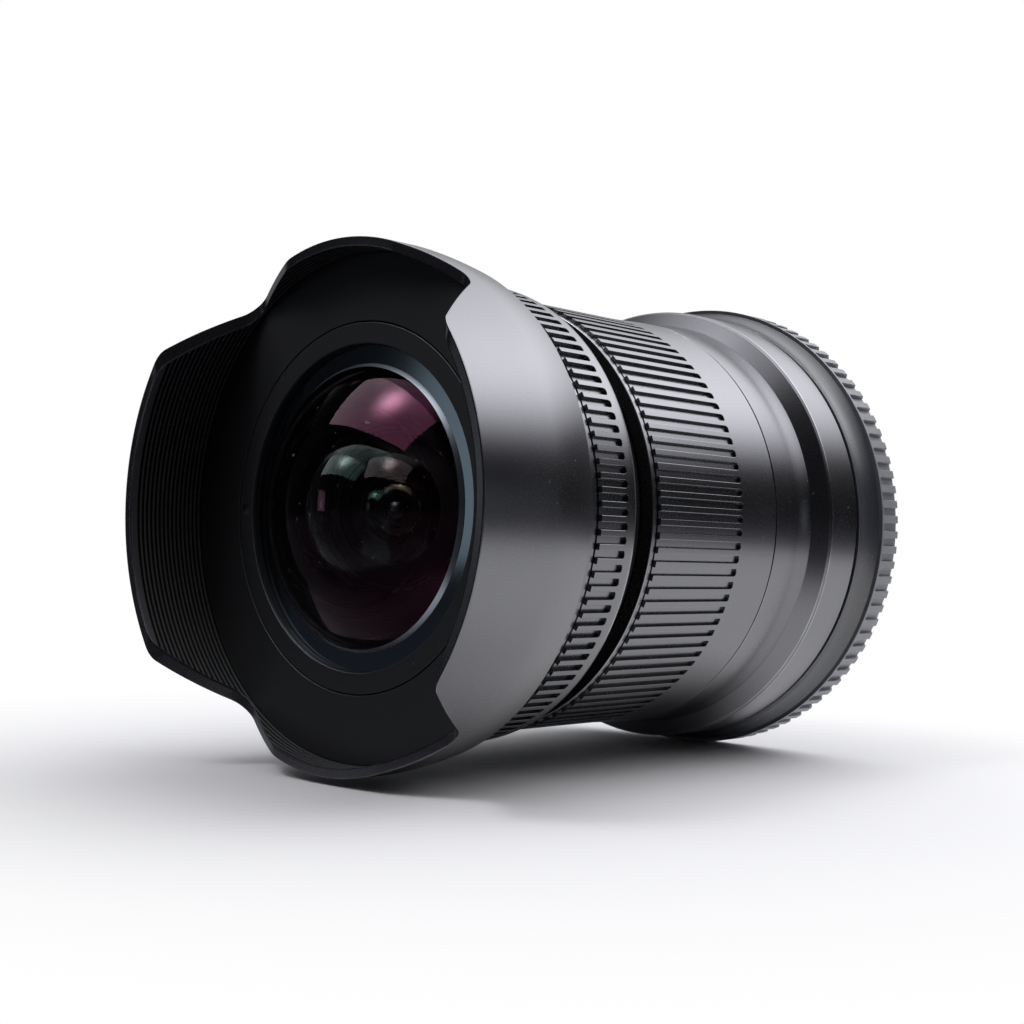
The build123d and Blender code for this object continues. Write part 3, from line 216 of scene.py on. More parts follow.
world = Finish(bpy.data.worlds.new("studio"))
bpy.context.scene.world = world.owner
heading = world.node("ShaderNodeTexCoord", None, None, "Generated")
behind = world.vector("DOT_PRODUCT", heading, backdrop_way, "Value")
side = world.vector("DOT_PRODUCT", heading, window_way, "Value")
rise = world.node("ShaderNodeSeparateXYZ", None, {0: heading}, "Z")
backdrop = world.step(behind, 0.45, 0.90)
window = world.step(side, -0.005, 0.005) * world.step(side, 0.10, 0.08) * world.step(rise, 0.14, 0.11)
ceiling = world.step(rise, 0.78, 0.90)
room = world.blend(backdrop, (0.012, 0.012, 0.014), (0.45, 0.46, 0.48))
room = world.blend(window, room, (0.55, 0.60, 0.66))
room = world.blend(ceiling, room, (0.80, 0.80, 0.83))
seen = world.blend(world.ray("Is Camera Ray"), room, (1.0, 1.0, 1.0))
sky = world.node("ShaderNodeBackground", None, {"Color": seen, "Strength": 1.0})
world.node("ShaderNodeOutputWorld", None, {"Surface": sky})

bell_base = 2.718


def soft_box(name, place, aim, width, height, radiance, core):
    """Rectangular lamp. Its face shines with the given radiance, times one plus a core that falls
    off from a point of the face by a bell curve: core is (strength, across, up, spread)."""
    lamp = bpy.data.lights.new(name, "AREA")
    lamp.shape = "RECTANGLE"
    lamp.size = width
    lamp.size_y = height
    lamp.energy = radiance * math.pi * width * height
    lamp.color = (0.97, 0.97, 1.0)
    glowing = Finish(lamp)
    face_spot = glowing.node("ShaderNodeNewGeometry", None, None, "Parametric")
    strength, across, up, spread = core
    offset = glowing.vector("SUBTRACT", face_spot, (across, up, 0.0))
    scaled = glowing.vector("MULTIPLY", offset, (width, height, 0.0))
    distance = glowing.node("ShaderNodeVectorMath", {"operation": "LENGTH"}, {0: scaled}, "Value")
    bell = glowing.math("POWER", bell_base, distance * distance * (-1.0 / spread ** 2))
    shine = glowing.node("ShaderNodeEmission", None, {"Strength": bell * strength + 1.0})
    glowing.node("ShaderNodeOutputLight", None, {"Surface": shine})
    holder = bpy.data.objects.new(name, lamp)
    bpy.context.scene.collection.objects.link(holder)
    back = (Vector(place) - Vector(aim)).normalized()
    holder.matrix_world = Matrix.Translation(place) @ back.to_track_quat("Z", "Y").to_matrix().to_4x4()


soft_box("overhead_box", (0.28, 0.60, 0.55), (0.28, 0.60, 0.0), 1.7, 1.5, 0.12, (26.0, 0.5, 0.5, 0.52))
soft_box("front_box", (-0.275, -0.618, 0.79), (0.0, -0.07, 0.0), 1.16, 0.48, 1.3, (9.0, 0.50, 0.70, 0.12))


# Petal hood
# Aluminium shell, turned and then milled into four petals, and anodised satin black. Its inside
# is cut with fine baffle grooves, and its flange is screwed to the front frame.
def rounded(corners):
    """Half section with soft edges. Each corner (radius, depth, round) becomes a parabola that
    starts and ends at the round's length from it, with a point on each side to hold the flats.
    Gives the points and an edge weight: 1 on an outer edge, -1 in an inner corner."""
    table = np.array(corners, float)
    at = table[:, :2]
    size = table[:, 2:3]
    into = at - np.roll(at, 1, axis=0)
    onto = np.roll(at, -1, axis=0) - at
    into = into / np.linalg.norm(into, axis=1, keepdims=True)
    onto = onto / np.linalg.norm(onto, axis=1, keepdims=True)
    share = np.array([0.0, 0.25, 0.5, 0.75, 1.0])[None, :, None]
    first = (at - into * size)[:, None, :]
    last = (at + onto * size)[:, None, :]
    curve = (1 - share) ** 2 * first + 2 * share * (1 - share) * at[:, None, :] + share ** 2 * last
    hold_first = (at - into * size * 1.7)[:, None, :]
    hold_last = (at + onto * size * 1.7)[:, None, :]
    points = np.concatenate([hold_first, curve, hold_last], axis=1)
    following = np.roll(at, -1, axis=0)
    area = np.sum(at[:, 0] * following[:, 1] - following[:, 0] * at[:, 1])
    bend = np.sign((into[:, 0] * onto[:, 1] - into[:, 1] * onto[:, 0]) * area)
    weight = bend[:, None] * np.array([0.0, 0.55, 1.0, 1.0, 1.0, 0.55, 0.0])[None, :]
    keep = (size > 0) | (np.arange(points.shape[1])[None, :] == 3)
    return points[keep], np.where(size > 0, weight, 0.0)[keep]


def skin(radius, depth, edge, angles, closed=True):
    """Surface around the optical axis. Rows run along the half section and columns around the
    axis: a point lies at (radius cos angle, depth, radius sin angle). Each cell of the grid is a
    face, turned outwards by the sign of the section's area."""
    columns = len(angles)
    shape = (len(depth), columns)
    radius = np.broadcast_to(radius, shape)
    depth = np.broadcast_to(depth, shape)
    edge = np.broadcast_to(edge, shape)
    turn = np.radians(angles)[None, :]
    points = np.stack([radius * np.cos(turn), depth, radius * np.sin(turn)], axis=-1).reshape(-1, 3)
    rows = np.arange(shape[0] if closed else shape[0] - 1)[:, None]
    across = np.arange(columns)[None, :]
    below = (rows + 1) % shape[0]
    beside = (across + 1) % columns
    faces = np.stack([rows * columns + across, below * columns + across,
                      below * columns + beside, rows * columns + beside], axis=-1).reshape(-1, 4)
    r0, y0 = radius[:, 0], depth[:, 0]
    area = np.sum(r0 * np.roll(y0, -1) - np.roll(r0, -1) * y0)
    if area < 0:
        faces = faces[:, ::-1]
    return points, faces, edge.reshape(-1)


def circle(columns):
    """Evenly spaced angles around the axis, in degrees."""
    return np.arange(columns) * (360.0 / columns)


def turned(corners):
    """Turned piece from the corners of its half section."""
    section, weight = rounded(corners)
    return skin(section[:, :1], section[:, 1:], weight[:, None], circle(512))


crease_angle = 32.0


def fit(name, surface, node, body, slot, *materials, weld=False):
    """Puts a surface in place of a CAD node: lengths in millimetres become metres, the edge
    weights become the attribute edge, and the piece rides on its body. A surface of several
    finishes also gives the number of each face's finish."""
    points, faces, edge = surface[:3]
    mesh = bpy.data.meshes.new(name)
    mesh.vertices.add(len(points))
    mesh.vertices.foreach_set("co", (points * 0.001).astype(np.float32).ravel())
    corners = faces.shape[1]
    mesh.loops.add(faces.size)
    mesh.loops.foreach_set("vertex_index", faces.astype(np.int32).ravel())
    mesh.polygons.add(len(faces))
    mesh.polygons.foreach_set("loop_start", np.arange(0, faces.size, corners, dtype=np.int32))
    mesh.polygons.foreach_set("loop_total", np.full(len(faces), corners, dtype=np.int32))
    mesh.update(calc_edges=True)
    layer = mesh.attributes.new("edge", "FLOAT", "POINT")
    layer.data.foreach_set("value", np.asarray(edge, np.float32))
    for material in materials:
        mesh.materials.append(material)
    if len(surface) > 3:
        mesh.polygons.foreach_set("material_index", surface[3].astype(np.int32))
    if weld:
        shell = bmesh.new()
        shell.from_mesh(mesh)
        bmesh.ops.remove_doubles(shell, verts=shell.verts, dist=1e-8)
        shell.to_mesh(mesh)
        shell.free()
    mesh.shade_smooth()
    mesh.set_sharp_from_angle(angle=math.radians(crease_angle))
    piece = bpy.data.objects.new(name, mesh)
    bpy.context.scene.collection.objects.link(piece)
    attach(piece, body)
    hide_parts(node)


def anodised(name, colour, roughness, lines, wear):
    """Black anodised aluminium: faint turning lines around the axis, a fine bead grain, a haze of handling,
    a few specks of dust, bright metal along worn outer edges, and painted shade in inner corners."""
    look = new_finish(name)
    place = look.place()
    turning = look.turning(place, 9000.0)
    bead = look.noise(place, 7000.0, 1.0)
    haze = look.noise(place, 90.0, 3.0)
    speck = look.step(look.noise(place, 1500.0, 1.0), 0.77, 0.79) * look.step(haze, 0.5, 0.62)
    edge = look.edge_mark()
    worn = look.step(edge * (look.noise(place, 420.0, 3.0) * 0.8 + 0.6), 0.55, 1.05) * wear
    # Painted shade: inner corners, such as the feet of rib walls and the closed ends of recesses, are
    # darkened.
    painted_corner_shade = look.step(edge * -1.0, 0.3, 1.0)
    base = look.blend(worn, colour, (0.62, 0.63, 0.67))
    base = look.blend(speck * 0.3, base, (0.75, 0.75, 0.78))
    base = look.blend(painted_corner_shade * 0.35, base, (0.02, 0.02, 0.02))
    rough = ((turning - 0.5) * (0.16 * lines) + (bead - 0.5) * 0.07 + (haze - 0.5) * 0.05
             + speck * 0.3 - worn * 0.08 + roughness)
    normal = look.bump(turning * (0.5 * lines) + bead * 0.7, 0.22)
    return look.close({"Base Color": base, "Metallic": 1.0, "Roughness": rough, "Normal": normal})


hood_radius = 34.7
hood_bore = 33.4
hood_tail = 33.8
petal_front = -81.95
cylinder_rear = -69.4
hood_rear = -62.25
skirt_bore = 32.5
flange_bore = 26.05
flange_rear = -67.2
trim_rear = -69.2
rim_soft = 0.10

# The rim against the distance from the hood's middle plane, with the round of each corner
crown_middle = -74.1
crown_rise = 0.25
crown_half = 10.5
crown_end = (10.0, -73.873)
petal_corners = [((10.5, -73.85), 6.0), ((20.85, -70.05), 3.0), ((27.75, petal_front), 1.6)]
outline_end = (60.0, petal_front)

baffle_count = 16
baffle_pitch = 0.70
baffle_width = 0.42
baffle_slope = 0.02
baffle_depth = 0.45
baffle_rim = 1.15            # smooth band behind the petal tips
row_gap = 0.0008             # least distance between groove rows that are held at the rim
row_reserve = 70             # more than all the groove rows


def petal_outline():
    """Depth of the hood's rim against the distance from its middle plane: a shallow crown, and
    straight runs joined by arcs that touch both."""
    crown = np.linspace(0.0, crown_end[0], 30)
    runs = [np.stack([crown, crown_middle + crown_rise * (crown / crown_half) ** 2], axis=1)]
    before = np.array(crown_end)
    afters = [corner for corner, _ in petal_corners[1:]] + [outline_end]
    for (corner, size), after in zip(petal_corners, afters):
        corner = np.array(corner)
        into = (corner - before) / np.linalg.norm(corner - before)
        onto = (np.array(after) - corner) / np.linalg.norm(np.array(after) - corner)
        bend = math.acos(float(np.clip(into @ onto, -1, 1)))
        length = size * math.tan(bend / 2)
        side = math.copysign(1.0, into[0] * onto[1] - into[1] * onto[0])
        centre = corner - into * length + side * size * np.array((-into[1], into[0]))
        begin = corner - into * length - centre
        swing = side * np.linspace(0.0, bend, 24)
        arc = np.stack([begin[0] * np.cos(swing) - begin[1] * np.sin(swing),
                        begin[0] * np.sin(swing) + begin[1] * np.cos(swing)], axis=1) + centre
        runs.append(arc)
        before = corner
    runs.append(np.array([outline_end]))
    return np.concatenate(runs)


outline = petal_outline()


def rim_depth(radius, angles):
    """Depth of the rim at a radius, and how steeply it runs there around the axis."""
    turn = np.radians(angles)
    reach = radius * np.abs(np.cos(turn))
    depth = np.interp(reach, outline[:, 0], outline[:, 1])
    nudge = 0.02
    steep = (np.interp(reach + nudge, outline[:, 0], outline[:, 1])
             - np.interp(reach - nudge, outline[:, 0], outline[:, 1])) / (2 * nudge)
    return depth, steep * np.abs(np.sin(turn))


def hood_angles():
    """Angles of the hood's columns, closest together where the flanks of the petals run."""
    quarter = np.concatenate([np.linspace(0, 33, 22, endpoint=False),
                              np.linspace(33, 55, 132, endpoint=False),
                              np.linspace(55, 90, 44, endpoint=False)])
    whole = np.concatenate([quarter, 180 - quarter, 180 + quarter, 360 - quarter, [90, 270]])
    return np.unique(np.round(whole, 6) % 360)


def hood_surface():
    """The outside runs from the rim to the tail, the tail draws in by its length to the power of
    1.5, and the grooved inside runs forward to the rim. Groove rows in front of the rim are held
    at it. The faces of the inside have the second finish."""
    angles = hood_angles()
    outer_depth, outer_steep = rim_depth(hood_radius, angles)
    inner_depth, inner_steep = rim_depth(hood_bore, angles)
    outer_edge = outer_depth + rim_soft * np.sqrt(1 + outer_steep ** 2)
    inner_edge = inner_depth + rim_soft * np.sqrt(1 + inner_steep ** 2)
    radius, depth, edge = [], [], []

    def row(r, y, weight):
        """One row around the hood: each value is a number or one for every angle."""
        radius.append(np.broadcast_to(r, angles.shape))
        depth.append(np.broadcast_to(y, angles.shape))
        edge.append(np.broadcast_to(weight, angles.shape))

    for share in (0.0, 0.012, 0.2, 0.4, 0.6, 0.8, 1.0):
        row(hood_radius, outer_edge + share * (cylinder_rear - outer_edge), 0.7 if share == 0.0 else 0.0)
    tail_front = [(hood_radius - (hood_radius - hood_tail) * share ** 1.5,
                   cylinder_rear + share * (hood_rear - cylinder_rear), 0.0)
                  for share in np.linspace(0.08, 0.97, 12)]
    tail_rear = [(hood_tail, hood_rear, 0.09), (skirt_bore, hood_rear, 0.06), (skirt_bore, flange_rear, 0.0),
                 (flange_bore, flange_rear, 0.0), (flange_bore, trim_rear, 0.0), (hood_bore, trim_rear, 0.0)]
    for (r, y), weight in zip(*rounded(tail_front + tail_rear)):
        row(r, y, weight)
    first_inside = len(radius) - 1
    fronts = (petal_front + baffle_rim + baffle_pitch * np.arange(baffle_count))[::-1, None]
    groove_y = (fronts + np.array([[baffle_width, baffle_width - baffle_slope, baffle_slope, 0.0]])).ravel()
    groove_radius = np.tile([hood_bore, hood_bore + baffle_depth, hood_bore + baffle_depth, hood_bore],
                            baffle_count)
    groove_edge = np.tile([0.375, -0.3, -0.3, 0.375], baffle_count)
    for index, (y, r, weight) in enumerate(zip(groove_y, groove_radius, groove_edge)):
        limit = inner_edge + row_gap * (row_reserve - index)
        row(np.where(y > limit, r, hood_bore), np.maximum(y, limit), np.where(y > limit, weight, 0.0))
    rim_start = len(radius)
    row(hood_bore, inner_edge, 0.25)
    row(hood_bore + 0.3 * rim_soft, 0.75 * inner_depth + 0.25 * inner_edge, 0.4)
    for r, weight in ((hood_bore + rim_soft, 0.25), (hood_bore + 0.25, 0.0),
                      (hood_radius - 0.25, 0.0), (hood_radius - rim_soft, 0.7)):
        row(r, rim_depth(r, angles)[0], weight)
    row(hood_radius - 0.3 * rim_soft, 0.75 * outer_depth + 0.25 * outer_edge, 1.0)
    surface = skin(np.array(radius), np.array(depth), np.array(edge), angles)
    inside = np.zeros(len(radius), int)
    inside[first_inside:rim_start] = 1
    return (*surface, np.repeat(inside, len(angles)))


def baffled(name):
    """Flat black inside of the hood: grey lands between the grooves, and grooves painted near black, a
    painted shade for their depth."""
    look = new_finish(name)
    place = look.place()
    painted_groove_shade = look.step(look.cylindrical(place)[1], 0.03344, 0.03352)
    land = look.blend(look.noise(place, 3000.0, 2.0), (0.075, 0.077, 0.079), (0.100, 0.102, 0.105))
    base = look.blend(painted_groove_shade, land, (0.002, 0.002, 0.002))
    return look.close({"Base Color": base, "Roughness": painted_groove_shade * 0.4 + 0.45, "Specular IOR Level": 0.5})


satin_black = anodised("satin_black", (0.200, 0.201, 0.215), 0.26, 0.12, 0.4)
fit("petal_hood_shell", hood_surface(), "petal_hood", "optical_unit", "anodised",
    satin_black, baffled("baffle_black"))


# Front trim plate
# Thin flat ring that covers the hood's screws. It is anodised matt black, with a fine bright edge.
trim_front = -69.95
trim_bore = 24.45
trim_gap = 0.05
matt_black = anodised("matt_black", (0.115, 0.118, 0.124), 0.50, 0.3, 0.12)
fit("trim_ring",
    turned([(trim_bore, trim_front, 0.06), (hood_bore - trim_gap, trim_front, 0.05),
            (hood_bore - trim_gap, trim_rear, 0.04), (trim_bore, trim_rear, 0.04)]),
    "front_trim_plate", "optical_unit", "anodised_flat", matt_black)


# Front retaining ring
# Threaded ring of matt black aluminium that holds the front glass. It has two slots for the tool
# that turns it.
ring_radius = 24.24
ring_rear = -68.6
lip_bore = 21.5
lip_rear = -69.4
thread_bore = 21.97
slot_inner = 22.3
slot_outer = 23.5
slot_width = 1.2
slot_depth = 0.3
slot_wall = 0.02             # width that the slot's steep ends take


def retaining_surface():
    """Turned ring. Points of its face that lie in a slot, beside the X axis, sink by its depth."""
    slot_half = math.degrees(slot_width / (slot_inner + slot_outer))
    cuts = np.array([-slot_half - 0.05, -slot_half, slot_half, slot_half + 0.05])
    angles = np.unique(np.round(np.concatenate([circle(480), cuts % 360, 180 + cuts]), 6))
    corners = [(lip_bore, trim_front, 0.10), (slot_inner, trim_front, 0.0),
               (slot_inner + slot_wall, trim_front, 0.0), (slot_outer - slot_wall, trim_front, 0.0),
               (slot_outer, trim_front, 0.0), (ring_radius, trim_front, 0.07),
               (ring_radius, ring_rear, 0.04),
               (thread_bore, ring_rear, 0.0), (thread_bore, lip_rear, 0.0), (lip_bore, lip_rear, 0.04)]
    section, weight = rounded(corners)
    points, faces, edge = skin(section[:, :1], section[:, 1:], weight[:, None], angles)
    radius = np.hypot(points[:, 0], points[:, 2])
    beside_axis = np.abs(points[:, 2]) < slot_width / 2 + 0.01
    in_slot = (radius > slot_inner + slot_wall / 2) & (radius < slot_outer - slot_wall / 2)
    points[beside_axis & in_slot & (points[:, 1] < trim_front + 0.05), 1] += slot_depth
    return points, faces, edge


fit("retaining_ring", retaining_surface(), "front_retaining_ring", "optical_unit",
    "anodised_flat", matt_black)


# Glass
# Ground and polished elements. Their polished faces carry thin coatings that tint what they
# reflect, their ground rims are painted black, and the front one has a bevel and a satin seat.
def sag(curve, radius):
    """Depth of a spherical face at a radius, behind its vertex."""
    return curve - np.copysign(np.sqrt(curve * curve - radius * radius), curve)


def face(vertex, curve, clear, rows=48):
    """Points of a spherical face, from the axis to its clear radius."""
    radius = clear * np.sqrt(np.linspace(0.0, 1.0, rows))
    return np.stack([radius, vertex + sag(curve, radius), np.zeros(rows)], axis=1)


front_coat, rear_coat, paint, seat_grey, bevel = range(5)


def glass_surface(front, rim, back, polished=0.0, seat=0.0):
    """Front face out from the axis, the corners of the rim, and the rear face back to the axis.
    The faces are coated, the bevel reaches out to the polished radius, the satin seat lies between
    that and the seat's radius, and the rest is painted."""
    section, weight = rounded(np.concatenate([front, rim, back[::-1]]))
    columns = 256
    surface = skin(section[:, :1], section[:, 1:], weight[:, None], circle(columns), closed=False)
    radius = (section[1:, 0] + section[:-1, 0]) / 2
    ahead = np.arange(len(radius)) < np.argmax(section[:, 0])
    kind = np.full(len(radius), paint)
    kind[ahead & (radius < polished)] = bevel
    kind[ahead & (radius < front[-1, 0])] = front_coat
    kind[ahead & (radius > polished) & (radius < seat)] = seat_grey
    kind[~ahead & (radius < back[-1, 0])] = rear_coat
    return (*surface, np.repeat(kind, columns))


def coated_glass(name, ior, tint):
    """Clear glass with a tinted coating, a trace of smear and a few specks of dust."""
    look = new_finish(name)
    place = look.place()
    smear = look.step(look.noise(place, 130.0, 3.0), 0.6, 0.8)
    dust = look.step(look.noise(place, 800.0, 1.0), 0.755, 0.78)
    clear = look.node("ShaderNodeBsdfPrincipled", None,
                      {"Base Color": (1.0, 1.0, 1.0, 1.0), "Roughness": 0.0, "IOR": ior,
                       "Transmission Weight": 1.0, "Specular Tint": (*tint, 1.0)})
    film = look.node("ShaderNodeBsdfDiffuse", None, {"Color": (0.55, 0.55, 0.6, 1.0)})
    whole = look.node("ShaderNodeMixShader", None, {0: dust * 0.25 + smear * 0.002, 1: clear, 2: film})
    look.node("ShaderNodeOutputMaterial", None, {"Surface": whole})
    return look.owner


def glass_edge(name, colour, corner_highlight, metallic, roughness, grained):
    """Ground edge of a glass: grained, with a painted highlight on its corners."""
    look = new_finish(name)
    grain = look.noise(look.place(), 5000.0, 2.0)
    # Painted highlight: corners of the edge are lightened towards the highlight colour.
    corner = look.step(look.edge_mark(), 0.4, 1.0)
    tone = look.blend(grain, [(1 - grained) * c for c in colour], [(1 + grained) * c for c in colour])
    base = look.blend(corner * 0.6, tone, corner_highlight)
    rough = grain * (0.4 * grained) + roughness
    return look.close({"Base Color": base, "Metallic": metallic, "Roughness": rough})


edge_paint = glass_edge("edge_paint", (0.006, 0.006, 0.007), (0.10, 0.11, 0.12), 0.0, 0.5, 0.02)
seat_satin = glass_edge("seat_satin", (0.15, 0.185, 0.21), (0.15, 0.185, 0.21), 1.0, 0.03, 0.25)
bevel_polish = glass_edge("bevel_polish", (0.62, 0.69, 0.78), (0.62, 0.69, 0.78), 1.0, 0.28, 0.05)


def element(name, node, surface, ior, front_tint, rear_tint, slot="inner_glass"):
    """One lens element with a coating of its own on each face."""
    fit(name, surface, node, "optical_unit", slot, coated_glass(name + "_front", ior, front_tint),
        coated_glass(name + "_rear", ior, rear_tint), edge_paint, seat_satin, bevel_polish, weld=True)


def disc_rim(radius, front, rear, soft):
    """Corners of a plain cylindrical rim."""
    return np.array([(radius, front, soft), (radius, rear, soft)])


dome_curve = 26.0
dome_radius = 18.5
glass_flange = 21.9
flange_back = -66.4
boss_radius = 18.6
seat_inner = 18.96
seat_outer = 21.31
seat_depth = -68.85
seat_seam = 0.01             # half the width of the seam where one finish ends and the next begins
front_vertex = lip_rear - float(sag(dome_curve, dome_radius))
front_rim = np.array([(seat_inner - seat_seam, seat_depth, 0.0), (seat_inner + seat_seam, seat_depth, 0.0),
                      (seat_outer - seat_seam, seat_depth, 0.0), (seat_outer + seat_seam, seat_depth, 0.0),
                      (21.45, lip_rear, 0.0), (glass_flange, lip_rear, 0.1),
                      (glass_flange, flange_back, 0.1),
                      (boss_radius, flange_back, 0.0), (boss_radius, -61.62, 0.1), (15.0, -62.3, 0.08)])
element("front_glass", "front_element",
        glass_surface(face(front_vertex, dome_curve, dome_radius, 64), front_rim,
                      face(front_vertex + 2.2, 14.3, 14.0, 56), seat_inner, seat_outer),
        1.92, (0.32, 0.075, 0.17), (0.07, 0.13, 0.12), "front_glass")

second_rim = -61.02
second_clear = 13.6
second_vertex = second_rim - float(sag(dome_curve, second_clear))
element("second_glass", "second_element",
        glass_surface(face(second_vertex, dome_curve, second_clear),
                      disc_rim(14.5, second_rim, -54.75, 0.08),
                      face(second_vertex + 1.8, 8.9, 8.75)),
        1.84, (0.17, 0.13, 0.13), (0.08, 0.18, 0.15))

middle_clear = 10.2
middle_radius = 11.05
element("third_glass", "third_element",
        glass_surface(face(-52.5, -38.0, middle_clear), disc_rim(middle_radius, -53.9, -48.83, 0.06),
                      face(-51.1, 24.0, middle_clear)),
        1.50, (0.55, 0.45, 0.28), (0.20, 0.40, 0.55))
element("fourth_glass", "fourth_element",
        glass_surface(face(-50.18, 24.0, middle_clear), disc_rim(middle_radius, -47.91, -46.41, 0.06),
                      face(-44.62, -30.0, middle_clear)),
        1.62, (0.50, 0.30, 0.40), (0.30, 0.70, 0.42))


# Aperture ring
# Turned and milled aluminium, anodised satin black. A plain collar leads to a fine groove, straight
# ribs with round-cornered recesses give the grip, and the rear edge is rounded off.
rib_end_round = 0.3


def ribbed(rows, count, share, floor):
    """Ring with equal recesses. Each row (recess radius, rib radius, depth, recess end, edge,
    rib edge) is blended around each pitch by a height that is 0 in a recess and 1 on a rib. At a
    recess end, the row follows the corner arcs of a rectangle with rounded corners."""
    pitch = 2 * math.pi * floor / count
    half = pitch * share / 2
    right = np.array([0.0, half - rib_end_round, half - 0.16, half - 0.05, half, half + 0.012, half + 0.05,
                      half + 0.09, pitch / 2])
    lift = np.array([0.0, 0.0, 0.0, 0.0, 0.0, 0.95, 1.0, 1.0, 1.0])
    # Weights at the rib walls: below 0 at a wall's foot, which the anodised finish turns into painted shade
    # in the recess corner.
    mark = np.array([0.0, 0.0, 0.0, -0.4, -0.7, 0.6, 0.1, 0.0, 0.0])
    across = np.concatenate([-right[-2:0:-1], right])
    height = np.concatenate([lift[-2:0:-1], lift])
    mark = np.concatenate([mark[-2:0:-1], mark])
    over = np.clip(np.abs(across) - (half - rib_end_round), 0.0, rib_end_round)
    back = rib_end_round - np.sqrt(rib_end_round ** 2 - over ** 2)
    angles = (np.arange(count)[:, None] * (360.0 / count) + np.degrees(across / floor)[None, :]).ravel()
    height = np.tile(height, count)[None, :]
    mark = np.tile(mark, count)[None, :]
    back = np.tile(back, count)[None, :]
    table = np.array(rows, float)
    low, high, depth, ends, edge, ribs = (table[:, index:index + 1] for index in range(6))
    radius = low + (high - low) * height
    weight = np.where(ribs > 0, np.maximum(edge, mark * ribs) + np.minimum(mark * ribs, 0.0), edge)
    return skin(radius, depth - ends * back, weight, angles)


def plain(corners):
    """Rows of a ribbed ring where recess and rib are the same."""
    section, weight = rounded(corners)
    return [(r, r, y, 0.0, w, 0.0) for (r, y), w in zip(section, weight)]


def open_section(corners):
    """Rows between the first and the last corner, which only give the direction there."""
    return plain(corners)[1:-1]


def collar(bore, floor, front, rib_front, bore_round, nose_round, lip_round):
    """Rows of the plain collar and of the fine groove between it and the ribs."""
    groove_front = rib_front - 0.35
    groove_floor = floor - 0.25
    return plain([(bore, front, bore_round), (floor, front, nose_round), (floor, groove_front, lip_round),
                  (groove_floor, groove_front, 0.03), (groove_floor, rib_front, 0.03),
                  (floor, rib_front, 0.0)])[:-1]


def rib_band(floor, top, front, rear):
    """Rows of the ribs, from their front faces to the closed ends of the recesses."""
    return [
        (floor, top - 0.05, front, 0.0, 0.3, 0.6),
        (floor, top - 0.015, front + 0.015, 0.0, 0.6, 0.6),
        (floor, top, front + 0.05, 0.0, 0.2, 1.0),
        (floor, top, front + 0.1, 0.0, 0.0, 1.0),
        (floor, top, (front + rear) / 2, 0.0, 0.0, 1.0),
        (floor, top, rear - 0.4, 0.0, 0.0, 1.0),
        (floor, top, rear - 0.06, 1.0, 0.0, 1.0),
        # The weight -0.8 at a recess's closed end becomes painted shade there.
        (floor, top, rear - 0.012, 1.0, -0.8, 1.0),
        (top - 0.04, top, rear, 1.0, 0.6, 0.4),
        (top, top, rear + 0.04, 1.0, 0.2, 0.2),
        (top, top, rear + 0.1, 1.0, 0.0, 0.0),
        (top, top, rear + 0.45, 0.0, 0.0, 0.0),
    ]


aperture_bore = 28.65
aperture_floor = 31.15
aperture_top = 31.7
aperture_front = -65.0
aperture_rib_front = -57.8
aperture_rib_rear = -52.7
aperture_rear = -50.45
aperture_rear_bore = 30.25
aperture_rows = (
    collar(aperture_bore, aperture_floor, aperture_front, aperture_rib_front, 0.1, 0.1, 0.05)
    + rib_band(aperture_floor, aperture_top, aperture_rib_front, aperture_rib_rear)
    + open_section([(aperture_top, -52.2, 0.0), (aperture_top, aperture_rear, 1.0),
                    (aperture_rear_bore, aperture_rear, 0.08), (aperture_rear_bore, aperture_rib_rear, 0.0),
                    (aperture_bore, aperture_rib_rear, 0.05), (aperture_bore, aperture_front, 0.0)])
)
fit("aperture_grip", ribbed(aperture_rows, 112, 0.56, 30.9), "aperture_ring", "aperture_group",
    "anodised", satin_black)


# Focus ring
# Turned and milled aluminium, anodised satin black. It has a rounded nose, long straight ribs and
# a plain band that flares to the width of the barrel behind it.
focus_bore = 27.95
focus_floor = 30.2
focus_top = 30.65
focus_front = -45.6
focus_rib_front = -44.5
focus_rib_rear = -25.9
focus_rear = -17.9
neck_radius = 30.95
focus_rows = (
    collar(focus_bore, focus_floor, focus_front, focus_rib_front, 0.05, 0.16, 0.04)
    + rib_band(focus_floor, focus_top, focus_rib_front, focus_rib_rear)
    + open_section([(30.66, -25.3, 0.0), (neck_radius, focus_rear, 0.10), (focus_bore, focus_rear, 0.05),
                    (focus_bore, focus_front, 0.0)])
)
fit("focus_grip", ribbed(focus_rows, 104, 0.54, 30.0), "focus_ring", "focus_group", "anodised", satin_black)


# Rear barrel
# Turned aluminium, anodised satin black. A plain neck rises in a parabola to a conical shoulder
# and the wide collar, which holds the mount plate and the camera side's index dot.
barrel_bore = 27.5
barrel_front = -17.65
barrel_rear = -0.2
neck_rise = 0.42
collar_radius = 33.8
mount_seat = 31.56
mount_seat_depth = -3.5
neck_curve = [(neck_radius + neck_rise * s * s, -12.6 + 3.2 * s, 0.0) for s in np.linspace(0.05, 0.97, 12)]
fit("barrel_shell",
    turned([(barrel_bore, barrel_front, 0.05), (neck_radius, barrel_front, 0.08), (neck_radius, -13.0, 0.0)]
           + neck_curve
           + [(31.38, -9.35, 0.04), (33.55, -7.75, 0.10), (collar_radius, -7.35, 0.10),
              (collar_radius, -0.6, 0.10), (33.45, barrel_rear, 0.08), (mount_seat, barrel_rear, 0.05),
              (mount_seat, mount_seat_depth, 0.0), (barrel_bore, mount_seat_depth, 0.0)]),
    "rear_barrel", "mount_body", "anodised", satin_black)
